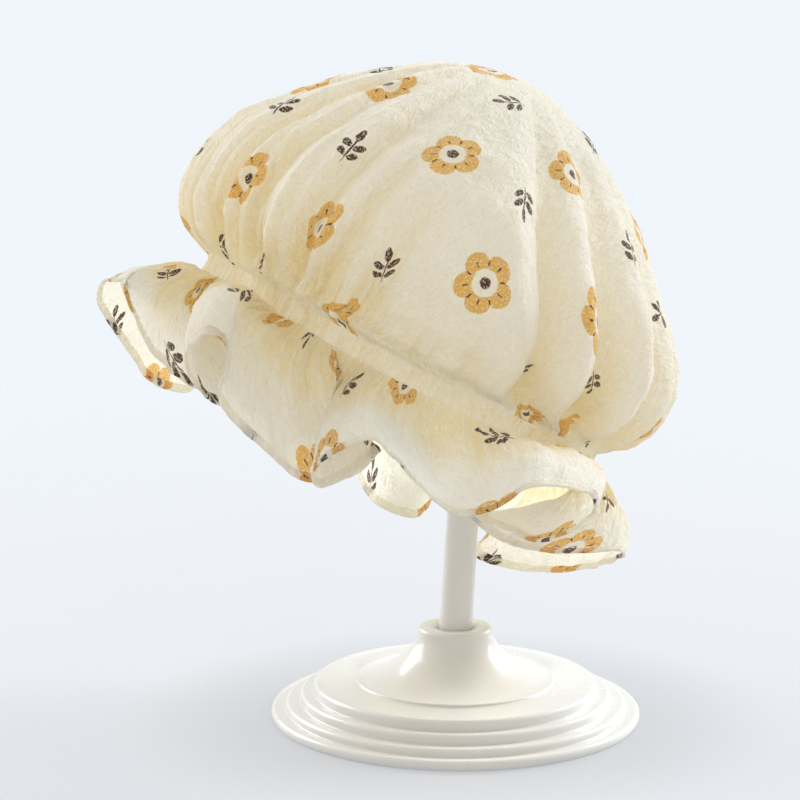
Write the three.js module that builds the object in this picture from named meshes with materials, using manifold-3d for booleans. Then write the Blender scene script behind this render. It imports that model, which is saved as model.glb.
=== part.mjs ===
// Baby cap on its plain display stand. The cap is a round cloth crown gathered into an elastic casing,
// with a wavy ruffle below the casing. The stand is a stepped base with a flared hub, a leaning pole and
// a hollow dome that the crown sits on. Millimetres, +Z up, the origin under the middle of the base.

import * as THREE from "three";
import { mergeVertices } from "three/addons/utils/BufferGeometryUtils.js";
import Module from "manifold-3d";

const wasm = await Module();
wasm.setup();

// Base of the stand
const BASE_SEGMENTS = 60;
const LIP_ROUND = 1.1;
const LIP_POINTS = 3;
const STEP_SLOPE = 0.35;
const DISC_RADIUS = 35.3;
const DISC_TOP = 13.4;
const HUB_FLARE_RADIUS = 34.2;
const HUB_NECK_RADIUS = 13.3;
const HUB_NECK_HEIGHT = 29.5;
const HUB_FLARE_POWER = 1.25;
const HUB_TOP = 31.7;
const HUB_ROUND = 1.4;
const HUB_FLARE_POINTS = 7;
const SOCKET_FLOOR = 12;
const SOCKET_CLEARANCE = 0.3;

// Each step of the base, from the table up: its radius and the height of its top
const baseSteps = [
  { radius: 65.0, top: 3.5 },
  { radius: 60.0, top: 5.9 },
  { radius: 54.8, top: 9.0 },
  { radius: 50.0, top: 12.4 },
];

// Pole and dome
const POLE_SEGMENTS = 24;
const POLE_LEAN = THREE.MathUtils.degToRad(3.5);
const POLE_FOOT_X = -1.8;
const POLE_FOOT_RADIUS = 5.9;
const POLE_TOP_RADIUS = 4.9;
const POLE_BOTTOM = 13;
const POLE_TOP = 189;
const DOME_RADIUS = 44;
const DOME_WALL = 2.5;
const DOME_CENTRE = 173.3;
const DOME_RIM = 8;
const DOME_POINTS = 9;
const DOME_SEGMENTS = 40;
const BOSS_RADIUS = 8.5;
const BOSS_BOTTOM = 6;
const BOSS_HOLE_TOP = 17;

// Cap: the casing's circle, where it sits and how it leans
const RING_RADIUS = 75.2;
const RING_CENTRE = new THREE.Vector3(-19.9, 0, 125.0);
const RING_LEAN = THREE.MathUtils.degToRad(27.6);
const RING_NEAR_RISE = 12;
const RING_SAG = 6;
const CASING_HALF = 3.0;
const CASING_WALL = 2.6;
const CLOTH_WALL = 1.5;
const CLOTH_GAP = 0.35;
const CROWN_COLUMNS = 90;
const CROWN_ROWS = 15;
const RUFFLE_COLUMNS = 150;
const RUFFLE_ROWS = 5;
const LIFT_FADE = 0.35;
const CREASE_START = 0.03;
const CREASE_FULL = 0.24;
const CREASE_HOLD = 0.35;
const CREASE_SHARPNESS = 1.5;
const CREASE_LIMIT = 0.2;

// Crown sections from the casing to the top: height over the ring's plane, shift of the middle towards the
// right end, half width across, and depth towards the near and the far side
const crownSections = [
  { height: 3.3, shift: 0.0, half: 75.2, near: 75.2, far: 75.2 },
  { height: 5.2, shift: -3.0, half: 83.5, near: 78.0, far: 79.0 },
  { height: 12.5, shift: -1.7, half: 89.5, near: 82.5, far: 86.0 },
  { height: 24.0, shift: -0.9, half: 91.2, near: 86.5, far: 89.0 },
  { height: 38.0, shift: -1.2, half: 89.4, near: 88.0, far: 88.0 },
  { height: 52.0, shift: -3.0, half: 82.0, near: 84.0, far: 83.0 },
  { height: 64.0, shift: -4.3, half: 70.7, near: 77.0, far: 75.0 },
  { height: 75.0, shift: -5.0, half: 60.5, near: 66.0, far: 65.0 },
  { height: 88.0, shift: -5.3, half: 44.3, near: 49.0, far: 48.0 },
  { height: 97.0, shift: -6.3, half: 29.5, near: 32.0, far: 31.0 },
  { height: 103.0, shift: -6.0, half: 14.0, near: 15.0, far: 15.0 },
  { height: 105.0, shift: -6.0, half: 0.0, near: 0.0, far: 0.0 },
];

// Creases of the crown. Angles run round the ring in degrees: 0 is its left end, 90 the near side, 180 the
// right end. A crease starts at the casing, leans over by some degrees towards the top and fades out.
const crownCreases = [
  { at: 8, depth: 3.0, width: 4.0, reach: 0.55, lean: 0 },
  { at: 22, depth: 4.0, width: 4.0, reach: 0.75, lean: -3 },
  { at: 39, depth: 5.0, width: 4.5, reach: 0.8, lean: -22 },
  { at: 48, depth: 4.0, width: 4.0, reach: 0.8, lean: -8 },
  { at: 57, depth: 4.5, width: 4.5, reach: 0.85, lean: 0 },
  { at: 66, depth: 4.0, width: 4.0, reach: 0.8, lean: 6 },
  { at: 78, depth: 2.5, width: 4.0, reach: 0.4, lean: 4 },
  { at: 95, depth: 1.5, width: 5.0, reach: 0.25, lean: 0 },
  { at: 114, depth: 7.0, width: 5.5, reach: 0.85, lean: -24 },
  { at: 131, depth: 8.0, width: 5.5, reach: 0.85, lean: -24 },
  { at: 142, depth: 6.5, width: 5.0, reach: 0.85, lean: -6 },
  { at: 153, depth: 6.0, width: 5.0, reach: 0.8, lean: 4 },
  { at: 166, depth: 4.5, width: 5.0, reach: 0.7, lean: 4 },
  { at: 181, depth: 6.0, width: 5.5, reach: 0.8, lean: 0 },
  { at: 197, depth: 5.0, width: 5.0, reach: 0.7, lean: 5 },
  { at: 213, depth: 6.0, width: 5.5, reach: 0.85, lean: -6 },
  { at: 230, depth: 4.5, width: 5.0, reach: 0.65, lean: 4 },
  { at: 247, depth: 6.0, width: 6.0, reach: 0.8, lean: 8 },
  { at: 263, depth: 4.0, width: 5.0, reach: 0.6, lean: -4 },
  { at: 280, depth: 5.5, width: 5.5, reach: 0.8, lean: 5 },
  { at: 297, depth: 4.5, width: 4.5, reach: 0.7, lean: -5 },
  { at: 312, depth: 5.0, width: 5.0, reach: 0.8, lean: 3 },
  { at: 328, depth: 4.0, width: 4.5, reach: 0.65, lean: 0 },
  { at: 345, depth: 4.5, width: 4.5, reach: 0.75, lean: 4 },
];

// The ruffle's hem, once round the cap. Each row is the angle of the casing that the cloth hangs from, and
// the hem's place there: across to the right end, away to the far side, and up along the cap's axis.
// Where the hem doubles back on itself, the ruffle folds into a pleat like a tunnel.
const hemPoints = [
  { at: 16, across: -91, away: -55, up: -13 },
  { at: 21, across: -76, away: -57, up: -25 },
  { at: 25, across: -61, away: -52, up: -31 },
  { at: 28, across: -49, away: -47, up: -30 },
  { at: 31, across: -48, away: -62, up: -24 },
  { at: 33.5, across: -52, away: -63, up: -30 },
  { at: 37, across: -60, away: -73, up: -25 },
  { at: 40, across: -63, away: -82, up: -17 },
  { at: 43, across: -60, away: -88, up: -9 },
  { at: 46, across: -53, away: -90, up: -9 },
  { at: 48, across: -49, away: -89, up: -16 },
  { at: 52, across: -45, away: -82, up: -28 },
  { at: 57, across: -29, away: -75, up: -35 },
  { at: 62.5, across: -14, away: -76, up: -38 },
  { at: 65.5, across: 0, away: -64, up: -32 },
  { at: 68, across: 3, away: -72, up: -20 },
  { at: 70, across: -2, away: -80, up: -29 },
  { at: 72, across: -9, away: -84, up: -36 },
  { at: 74, across: -13, away: -91, up: -32 },
  { at: 77, across: -12, away: -100, up: -24 },
  { at: 80.5, across: -6, away: -106, up: -15 },
  { at: 84, across: 0, away: -109, up: -11 },
  { at: 92, across: 15, away: -106, up: -17 },
  { at: 99, across: 28, away: -101, up: -21 },
  { at: 105, across: 35, away: -100, up: -19 },
  { at: 112, across: 41, away: -104, up: -11 },
  { at: 118, across: 45, away: -104, up: -3 },
  { at: 127, across: 56, away: -99, up: 1 },
  { at: 135, across: 67, away: -90, up: 1 },
  { at: 139, across: 69, away: -86, up: -7 },
  { at: 145, across: 63, away: -76, up: -20 },
  { at: 151, across: 52, away: -62, up: -25 },
  { at: 157, across: 40, away: -46, up: -28 },
  { at: 161, across: 54, away: -40, up: -32 },
  { at: 167, across: 74, away: -42, up: -26 },
  { at: 174, across: 91, away: -36, up: -18 },
  { at: 179, across: 96, away: -22, up: -23 },
  { at: 190, across: 93, away: 12, up: -37 },
  { at: 198, across: 83, away: 26, up: -47 },
  { at: 206, across: 71, away: 38, up: -54 },
  { at: 213, across: 61, away: 48, up: -56 },
  { at: 220, across: 66, away: 74, up: -51 },
  { at: 228, across: 60, away: 96, up: -42 },
  { at: 237, across: 46, away: 97, up: -44 },
  { at: 245, across: 40, away: 80, up: -54 },
  { at: 252, across: 36, away: 68, up: -58 },
  { at: 259, across: 24, away: 68, up: -60 },
  { at: 266, across: 14, away: 84, up: -58 },
  { at: 273, across: 4, away: 100, up: -50 },
  { at: 281, across: -10, away: 98, up: -48 },
  { at: 288, across: -18, away: 80, up: -57 },
  { at: 294, across: -30, away: 76, up: -55 },
  { at: 300, across: -42, away: 90, up: -44 },
  { at: 307, across: -54, away: 92, up: -35 },
  { at: 313, across: -60, away: 74, up: -44 },
  { at: 319, across: -62, away: 58, up: -52 },
  { at: 325, across: -70, away: 44, up: -53 },
  { at: 332, across: -77, away: 34, up: -51 },
  { at: 341, across: -90, away: 20, up: -41 },
  { at: 349, across: -102, away: 6, up: -29 },
  { at: 356, across: -102, away: -14, up: -16 },
  { at: 366, across: -95, away: -30, up: -16 },
];
const RUFFLE_SPRING = 0.5;
const RUFFLE_FLARE = THREE.MathUtils.degToRad(25);
const FULL_TURN = 360;
const MERGE_DISTANCE = 1e-4;

const whitePlastic = { color: "#efeeea", roughness: 0.28, metalness: 0.0 };
const creamCloth = { color: "#f3ead2", roughness: 0.92, metalness: 0.0 };
const creamCasing = { color: "#eee2c0", roughness: 0.94, metalness: 0.0 };

// The cap's own axes: across to its right end, away to the far side, and up along the crown
const axisAcross = new THREE.Vector3(Math.cos(RING_LEAN), 0, -Math.sin(RING_LEAN));
const axisAway = new THREE.Vector3(0, 1, 0);
const axisUp = new THREE.Vector3(Math.sin(RING_LEAN), 0, Math.cos(RING_LEAN));

function capPoint(across, away, up) {
  return RING_CENTRE.clone()
    .addScaledVector(axisAcross, across)
    .addScaledVector(axisAway, away)
    .addScaledVector(axisUp, up);
}

// Height of the casing over the ring's plane: the near side is pulled up, and both long sides sag a little
function ringLift(degrees) {
  const side = Math.sin(THREE.MathUtils.degToRad(degrees));
  return RING_NEAR_RISE * side - RING_SAG * side * side;
}

function ringPoint(degrees, radius, up) {
  const angle = THREE.MathUtils.degToRad(degrees);
  return capPoint(-Math.cos(angle) * radius, -Math.sin(angle) * radius, ringLift(degrees) + up);
}

function catmullRom(before, from, to, after, f) {
  const linear = (to - before) * f;
  const square = (2 * before - 5 * from + 4 * to - after) * f * f;
  const cube = (3 * from - before - 3 * to + after) * f * f * f;
  return 0.5 * (2 * from + linear + square + cube);
}

// Reads one column of an open table at 0 to 1 along its rows
function readSections(table, column, along) {
  const last = table.length - 1;
  const place = Math.min(Math.max(along, 0), 1) * last;
  const row = Math.min(Math.floor(place), last - 1);
  const from = table[row][column];
  const to = table[row + 1][column];
  const before = row > 0 ? table[row - 1][column] : 2 * from - to;
  const after = row + 2 <= last ? table[row + 2][column] : 2 * to - from;
  return catmullRom(before, from, to, after, place - row);
}

// Reads one column of the closed hem table at 0 to 1 round it
function readHem(column, around) {
  const count = hemPoints.length;
  const place = around * count;
  const row = Math.floor(place);
  const value = (index) => {
    const turns = Math.floor(index / count);
    const wrapped = hemPoints[index - turns * count][column];
    return column === "at" ? wrapped + turns * FULL_TURN : wrapped;
  };
  return catmullRom(value(row - 1), value(row), value(row + 1), value(row + 2), place - row);
}

function smooth(edge0, edge1, x) {
  return THREE.MathUtils.smoothstep(x, edge0, edge1);
}

// How far the crown's creases pull it in at an angle and at 0 to 1 from the casing to the top
function creaseDepth(degrees, along) {
  let depth = 0;
  for (const crease of crownCreases) {
    const past = degrees - crease.at - crease.lean * along;
    const apart = THREE.MathUtils.euclideanModulo(past + FULL_TURN / 2, FULL_TURN) - FULL_TURN / 2;
    const across = apart / crease.width;
    const begun = smooth(CREASE_START, CREASE_FULL, along);
    const left = 1 - smooth(crease.reach * CREASE_HOLD, crease.reach, along);
    depth += (crease.depth * begun * left) / Math.pow(1 + across * across, CREASE_SHARPNESS);
  }
  return depth;
}

function crownPoint(degrees, along) {
  const angle = THREE.MathUtils.degToRad(degrees);
  const half = readSections(crownSections, "half", along);
  const depthColumn = Math.sin(angle) >= 0 ? "near" : "far";
  const depth = readSections(crownSections, depthColumn, along);
  const height = readSections(crownSections, "height", along);
  const shift = readSections(crownSections, "shift", along);
  const radius = 1 / Math.hypot(Math.cos(angle) / half, Math.sin(angle) / depth);
  const pulled = radius - Math.min(creaseDepth(degrees, along), radius * CREASE_LIMIT);
  const lift = ringLift(degrees) * (1 - smooth(0, LIFT_FADE, along));
  return capPoint(shift - Math.cos(angle) * pulled, -Math.sin(angle) * pulled, height + lift);
}

// A strip's point: it springs outward from the casing and bends over to the hem
function rufflePoint(around, along) {
  const degrees = readHem("at", around);
  const start = ringPoint(degrees, RING_RADIUS - CLOTH_WALL / 2, -CASING_HALF - CLOTH_GAP - CLOTH_WALL / 2);
  const hem = capPoint(readHem("across", around), readHem("away", around), readHem("up", around));
  const outward = ringPoint(degrees, RING_RADIUS + 1, 0).sub(ringPoint(degrees, RING_RADIUS, 0));
  const reach = start.distanceTo(hem) * RUFFLE_SPRING;
  const bend = start.clone()
    .addScaledVector(outward, reach * Math.cos(RUFFLE_FLARE))
    .addScaledVector(axisUp, -reach * Math.sin(RUFFLE_FLARE));
  const first = start.clone().lerp(bend, along);
  const second = bend.clone().lerp(hem, along);
  return first.lerp(second, along);
}

function solidFrom(points, faces) {
  const geometry = new THREE.BufferGeometry();
  const flat = [];
  for (const point of points) {
    flat.push(point.x, point.y, point.z);
  }
  geometry.setAttribute("position", new THREE.Float32BufferAttribute(flat, 3));
  let volume = 0;
  for (const [a, b, c] of faces) {
    volume += points[a].dot(points[b].clone().cross(points[c]));
  }
  const outward = volume > 0 ? faces : faces.map(([a, b, c]) => [a, c, b]);
  geometry.setIndex(outward.flat());
  return geometry;
}

// Direction out of a closed grid of points at one place, from its neighbours round and along
function gridNormal(grid, column, row) {
  const columns = grid.length;
  const rows = grid[0].length;
  const round = grid[(column + 1) % columns][row].clone().sub(grid[(column + columns - 1) % columns][row]);
  const upper = grid[column][Math.min(row + 1, rows - 1)];
  const lower = grid[column][Math.max(row - 1, 0)];
  return round.cross(upper.clone().sub(lower)).normalize();
}

// A cloth wall round the cap: two skins a wall apart, joined along the lower edge and, where the wall has
// no top point, along the upper edge too
function clothWall(grid, outerOffset, innerOffset, topPoints) {
  const columns = grid.length;
  const rows = grid[0].length;
  const points = [];
  for (const offset of [outerOffset, innerOffset]) {
    for (let column = 0; column < columns; column += 1) {
      for (let row = 0; row < rows; row += 1) {
        points.push(grid[column][row].clone().addScaledVector(gridNormal(grid, column, row), offset));
      }
    }
  }
  const skin = columns * rows;
  const at = (side, column, row) => side * skin + (column % columns) * rows + row;
  const faces = [];
  const quad = (a, b, c, d) => faces.push([a, b, c], [a, c, d]);
  for (let column = 0; column < columns; column += 1) {
    const next = column + 1;
    for (let row = 0; row < rows - 1; row += 1) {
      quad(at(0, column, row), at(0, next, row), at(0, next, row + 1), at(0, column, row + 1));
      quad(at(1, column, row), at(1, column, row + 1), at(1, next, row + 1), at(1, next, row));
    }
    quad(at(0, column, 0), at(1, column, 0), at(1, next, 0), at(0, next, 0));
    if (topPoints) {
      faces.push([at(0, column, rows - 1), at(0, next, rows - 1), points.length]);
      faces.push([at(1, column, rows - 1), points.length + 1, at(1, next, rows - 1)]);
    } else {
      const end = rows - 1;
      quad(at(0, column, end), at(0, next, end), at(1, next, end), at(1, column, end));
    }
  }
  return solidFrom(topPoints ? points.concat(topPoints) : points, faces);
}

function crownGeometry() {
  const grid = [];
  for (let column = 0; column < CROWN_COLUMNS; column += 1) {
    const degrees = (column * FULL_TURN) / CROWN_COLUMNS;
    const line = [];
    for (let row = 0; row < CROWN_ROWS; row += 1) {
      line.push(crownPoint(degrees, row / CROWN_ROWS));
    }
    grid.push(line);
  }
  const top = crownPoint(0, 1);
  return clothWall(grid, 0, -CLOTH_WALL, [top, top.clone().addScaledVector(axisUp, -CLOTH_WALL)]);
}

function ruffleGeometry() {
  const grid = [];
  for (let column = 0; column < RUFFLE_COLUMNS; column += 1) {
    const line = [];
    for (let row = 0; row <= RUFFLE_ROWS; row += 1) {
      line.push(rufflePoint(column / RUFFLE_COLUMNS, row / RUFFLE_ROWS));
    }
    grid.push(line);
  }
  return clothWall(grid, -CLOTH_WALL / 2, CLOTH_WALL / 2, null);
}

function casingGeometry() {
  const grid = [];
  for (let column = 0; column < CROWN_COLUMNS; column += 1) {
    const degrees = (column * FULL_TURN) / CROWN_COLUMNS;
    const outer = RING_RADIUS;
    const inner = RING_RADIUS - CASING_WALL;
    grid.push([
      ringPoint(degrees, outer, CASING_HALF),
      ringPoint(degrees, outer, -CASING_HALF),
      ringPoint(degrees, inner, -CASING_HALF),
      ringPoint(degrees, inner, CASING_HALF),
    ]);
  }
  const corners = grid[0].length;
  const at = (column, corner) => (column % CROWN_COLUMNS) * corners + (corner % corners);
  const faces = [];
  for (let column = 0; column < CROWN_COLUMNS; column += 1) {
    for (let corner = 0; corner < corners; corner += 1) {
      faces.push([at(column, corner), at(column + 1, corner), at(column + 1, corner + 1)]);
      faces.push([at(column, corner), at(column + 1, corner + 1), at(column, corner + 1)]);
    }
  }
  return solidFrom(grid.flat(), faces);
}

// A lathe body turned about +Z from an outline of [radius, height] points
function turned(outline, segments) {
  const points = outline.map(([radius, height]) => new THREE.Vector2(radius, height));
  return new THREE.LatheGeometry(points, segments).rotateX(Math.PI / 2);
}

function baseOutline() {
  const outline = [[0, 0], [baseSteps[0].radius - LIP_ROUND / 2, 0]];
  for (const step of baseSteps) {
    const rise = step === baseSteps[0] ? LIP_ROUND / 2 : step.top - 2 * LIP_ROUND;
    outline.push([step.radius, rise]);
    for (let point = 0; point < LIP_POINTS; point += 1) {
      const turn = (point / (LIP_POINTS - 1)) * (Math.PI / 2);
      const radius = step.radius - LIP_ROUND + LIP_ROUND * Math.cos(turn);
      outline.push([radius, step.top - LIP_ROUND + LIP_ROUND * Math.sin(turn)]);
    }
    const next = baseSteps[baseSteps.indexOf(step) + 1];
    if (next) {
      outline.push([next.radius, step.top - STEP_SLOPE]);
    }
  }
  const plateau = baseSteps[baseSteps.length - 1].top;
  outline.push([DISC_RADIUS, plateau - STEP_SLOPE / 2], [DISC_RADIUS - STEP_SLOPE, DISC_TOP]);
  for (let point = 0; point <= HUB_FLARE_POINTS; point += 1) {
    const turn = (point / HUB_FLARE_POINTS) * (Math.PI / 2);
    const inward = Math.sin(turn) ** HUB_FLARE_POWER;
    const below = Math.max(Math.cos(turn), 0) ** HUB_FLARE_POWER;
    const radius = HUB_FLARE_RADIUS - (HUB_FLARE_RADIUS - HUB_NECK_RADIUS) * inward;
    outline.push([radius, HUB_NECK_HEIGHT - (HUB_NECK_HEIGHT - DISC_TOP) * below]);
  }
  outline.push([HUB_NECK_RADIUS, HUB_TOP - HUB_ROUND], [HUB_NECK_RADIUS - HUB_ROUND / 2, HUB_TOP]);
  outline.push([0, HUB_TOP]);
  return outline;
}

function asManifold(geometry) {
  const plain = geometry.clone();
  plain.deleteAttribute("normal");
  plain.deleteAttribute("uv");
  const merged = mergeVertices(plain, MERGE_DISTANCE);
  const faces = [];
  const index = merged.index.array;
  for (let i = 0; i < index.length; i += 3) {
    const [a, b, c] = [index[i], index[i + 1], index[i + 2]];
    if (a !== b && b !== c && c !== a) {
      faces.push(a, b, c);
    }
  }
  const vertProperties = new Float32Array(merged.attributes.position.array);
  return new wasm.Manifold(new wasm.Mesh({ numProp: 3, vertProperties, triVerts: new Uint32Array(faces) }));
}

function asGeometry(manifold) {
  const mesh = manifold.getMesh();
  const geometry = new THREE.BufferGeometry();
  geometry.setAttribute("position", new THREE.Float32BufferAttribute(mesh.vertProperties, 3));
  geometry.setIndex(Array.from(mesh.triVerts));
  return geometry;
}

// Moves a body made about +Z onto the pole's leaning axis
function onPoleAxis(geometry) {
  return geometry.rotateY(POLE_LEAN).translate(POLE_FOOT_X, 0, 0);
}

function baseGeometry() {
  const body = asManifold(turned(baseOutline(), BASE_SEGMENTS));
  const radius = POLE_FOOT_RADIUS + SOCKET_CLEARANCE;
  const above = HUB_TOP + DISC_TOP;
  const outline = [[0, SOCKET_FLOOR], [radius, SOCKET_FLOOR], [radius, above], [0, above]];
  const socket = onPoleAxis(turned(outline, POLE_SEGMENTS));
  return asGeometry(body.subtract(asManifold(socket)));
}

function poleGeometry() {
  const outline = [
    [0, POLE_BOTTOM],
    [POLE_FOOT_RADIUS, POLE_BOTTOM],
    [POLE_TOP_RADIUS, POLE_TOP],
    [0, POLE_TOP],
  ];
  return asGeometry(asManifold(onPoleAxis(turned(outline, POLE_SEGMENTS))));
}

function domeGeometry() {
  const arc = (radius, from, to) => {
    const points = [];
    for (let point = 0; point <= DOME_POINTS; point += 1) {
      const turn = from + ((to - from) * point) / DOME_POINTS;
      points.push([radius * Math.sin(turn), DOME_CENTRE + radius * Math.cos(turn)]);
    }
    return points;
  };
  const inner = DOME_RADIUS - DOME_WALL;
  const outerRim = Math.acos(DOME_RIM / DOME_RADIUS);
  const innerRim = Math.acos(DOME_RIM / inner);
  const bossTop = Math.asin(BOSS_RADIUS / inner);
  const hole = POLE_TOP_RADIUS + SOCKET_CLEARANCE;
  const boss = [
    [BOSS_RADIUS, DOME_CENTRE + BOSS_BOTTOM],
    [hole, DOME_CENTRE + BOSS_BOTTOM],
    [hole, DOME_CENTRE + BOSS_HOLE_TOP],
    [0, DOME_CENTRE + BOSS_HOLE_TOP],
  ];
  const outline = [...boss.reverse(), ...arc(inner, bossTop, innerRim), ...arc(DOME_RADIUS, outerRim, 0)];
  return asGeometry(asManifold(onPoleAxis(turned(outline, DOME_SEGMENTS))));
}

const group = new THREE.Group();

function addPiece(name, geometry, look) {
  const mesh = new THREE.Mesh(geometry, new THREE.MeshStandardMaterial(look));
  mesh.name = name;
  group.add(mesh);
}

addPiece("stand_base", baseGeometry(), whitePlastic);
addPiece("stand_pole", poleGeometry(), whitePlastic);
addPiece("stand_dome", domeGeometry(), whitePlastic);
addPiece("cap_crown", crownGeometry(), creamCloth);
addPiece("cap_casing", casingGeometry(), creamCasing);
addPiece("cap_ruffle", ruffleGeometry(), creamCloth);

export default group;
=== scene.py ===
"""Baby cap on its display stand: a gathered gauze crown, an elastic casing and a wavy ruffle, over a
stepped plastic base with a flared hub and a leaning pole. +Z is up, and the origin is under the middle
of the base. Shapes are worked out in millimetres and made in metres."""

import math

import bpy
import numpy as np
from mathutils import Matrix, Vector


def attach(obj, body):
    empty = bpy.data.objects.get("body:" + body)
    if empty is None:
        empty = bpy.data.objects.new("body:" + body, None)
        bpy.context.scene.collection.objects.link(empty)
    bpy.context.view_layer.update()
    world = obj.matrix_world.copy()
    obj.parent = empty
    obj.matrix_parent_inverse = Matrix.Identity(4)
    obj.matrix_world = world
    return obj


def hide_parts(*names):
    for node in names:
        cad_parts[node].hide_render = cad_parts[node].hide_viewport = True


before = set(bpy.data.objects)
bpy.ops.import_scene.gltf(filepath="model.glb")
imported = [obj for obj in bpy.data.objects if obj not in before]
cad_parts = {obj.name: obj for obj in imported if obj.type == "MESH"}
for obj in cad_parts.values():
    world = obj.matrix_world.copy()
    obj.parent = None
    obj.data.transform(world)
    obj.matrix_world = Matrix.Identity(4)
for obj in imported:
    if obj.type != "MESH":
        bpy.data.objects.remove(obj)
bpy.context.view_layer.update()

# Metres in a millimetre, and degrees in a turn
MM = 0.001
TURN = 360.0

# Where the cap sits on the stand: the casing's circle, its lean, how its near side is pulled up, half its
# height, and the share of the way up the crown at which that pull has died out
RING_CENTRE = np.array([-19.9, 0.0, 125.0])
RING_RADIUS = 75.2
RING_LEAN = math.radians(27.6)
RING_NEAR_RISE = 12.0
RING_SAG = 6.0
CASING_HALF = 3.0
LIFT_FADE = 0.35

# The ruffle's even width, and for how much of the way to its hem it keeps to the direction that it leaves in
RUFFLE_WIDTH = 41.0
RUFFLE_SPRING = 0.5

# How steeply the ruffle leaves the casing, by the angle round it: 0 degrees straight out, 90 straight down
# and less than 0 upwards, where a lobe puffs up
FLARE_NAMES = ("at", "down")
RUFFLE_FLARE = [
    (0, 22), (20, 22), (34, 18), (44, -6), (54, -6), (66, 32), (90, 38), (108, 26), (120, -18), (138, -24),
    (150, 12), (165, 25), (360, 25),
]

# The ruffle's lobes: what is finer than this many waves round the hem starts early on the way down
HEM_BROAD_WAVES = 4
LOBE_RISE = 1.15

# Crown from the casing to the top: height over the casing's circle, shift of the middle to the right end,
# half width across, and depth to the near and the far side
SECTION_NAMES = ("height", "shift", "half", "near", "far")
CROWN_SECTIONS = [
    (3.0, 0.0, 75.2, 75.2, 75.2),
    (6.6, -2.8, 82.6, 75.4, 79.4),
    (13.5, -2.6, 89.6, 77.4, 86.2),
    (24.0, -2.4, 92.7, 83.8, 89.0),
    (38.0, -2.6, 90.8, 88.0, 88.0),
    (52.0, -4.2, 83.2, 84.4, 83.0),
    (64.0, -4.8, 71.2, 77.0, 75.0),
    (75.0, -5.0, 60.5, 66.0, 65.0),
    (88.0, -5.3, 44.3, 49.0, 48.0),
    (97.0, -6.3, 29.5, 32.0, 31.0),
    (103.0, -6.0, 14.0, 15.0, 15.0),
    (105.0, -6.0, 0.0, 0.0, 0.0),
]

# Between its ends and its sides the crown rises straighter from the casing: by what share, and over what
# share of the way up that dies out
CROWN_FLAT = 0.35
CROWN_FLAT_FADE = (0.02, 0.3)

# A fold is never deeper than this share of the crown's radius
FOLD_LIMIT = 0.2

# The crown's middle point stands this much over the last row
CROWN_TIP_RISE = 0.25

# Main folds of the crown, by the angle of the valley round the casing: 0 is the left end, 90 the near
# side and 180 the right end. Depth is in millimetres, width and lean in degrees, reach a share of the way
# up, and shoulder tells a crisp crest (0) from a round one (1).
CREASE_NAMES = ("at", "depth", "width", "reach", "lean", "shoulder")
CROWN_CREASES = [
    (2, 3.5, 3.2, 0.6, 0, 0.2),
    (9, 3.4, 2.8, 0.7, 4, 0.0),
    (16, 5.0, 3.4, 0.8, -3, 0.0),
    (23.5, 3.0, 2.6, 0.7, 1, 0.1),
    (29, 5.4, 3.4, 0.9, 3, 0.0),
    (35.5, 3.2, 2.6, 0.7, 5, 0.1),
    (41, 6.0, 3.6, 0.95, 4, 0.0),
    (48.5, 3.6, 2.8, 0.75, 8, 0.1),
    (54, 6.2, 4.0, 0.95, 8, 0.1),
    (62, 4.6, 3.4, 0.75, 13, 0.2),
    (69, 4.6, 4.2, 0.7, 17, 0.4),
    (78, 2.4, 4.4, 0.45, 12, 0.6),
    (91, 1.6, 5.0, 0.3, 0, 0.8),
    (105, 2.6, 5.0, 0.5, -14, 0.8),
    (122, 8.4, 5.4, 0.95, -28, 0.9),
    (139, 9.0, 5.6, 0.95, -26, 0.9),
    (154, 8.0, 5.2, 0.95, -10, 0.9),
    (167, 6.0, 4.8, 0.8, -2, 0.8),
    (181, 6.0, 4.5, 0.8, 0, 0.7),
    (197, 5.0, 4.5, 0.7, 5, 0.5),
    (213, 6.0, 5.0, 0.85, -6, 0.6),
    (230, 4.5, 4.5, 0.65, 4, 0.5),
    (247, 6.0, 5.0, 0.8, 8, 0.6),
    (263, 4.0, 4.5, 0.6, -4, 0.5),
    (280, 5.5, 5.0, 0.8, 5, 0.6),
    (297, 4.5, 4.0, 0.7, -5, 0.4),
    (312, 5.0, 4.5, 0.8, 3, 0.5),
    (328, 4.0, 4.0, 0.65, 0, 0.4),
    (345, 4.5, 4.0, 0.75, 4, 0.3),
]

# How far up the crown the fine gathers reach, by the angle round the casing
GATHER_NAMES = ("at", "reach")
GATHER_REACH = [
    (0, 0.6), (30, 0.72), (60, 0.66), (78, 0.38), (92, 0.25), (106, 0.25), (125, 0.34), (150, 0.4),
    (180, 0.45), (220, 0.55), (260, 0.6), (300, 0.6), (340, 0.6), (360, 0.6),
]

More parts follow.
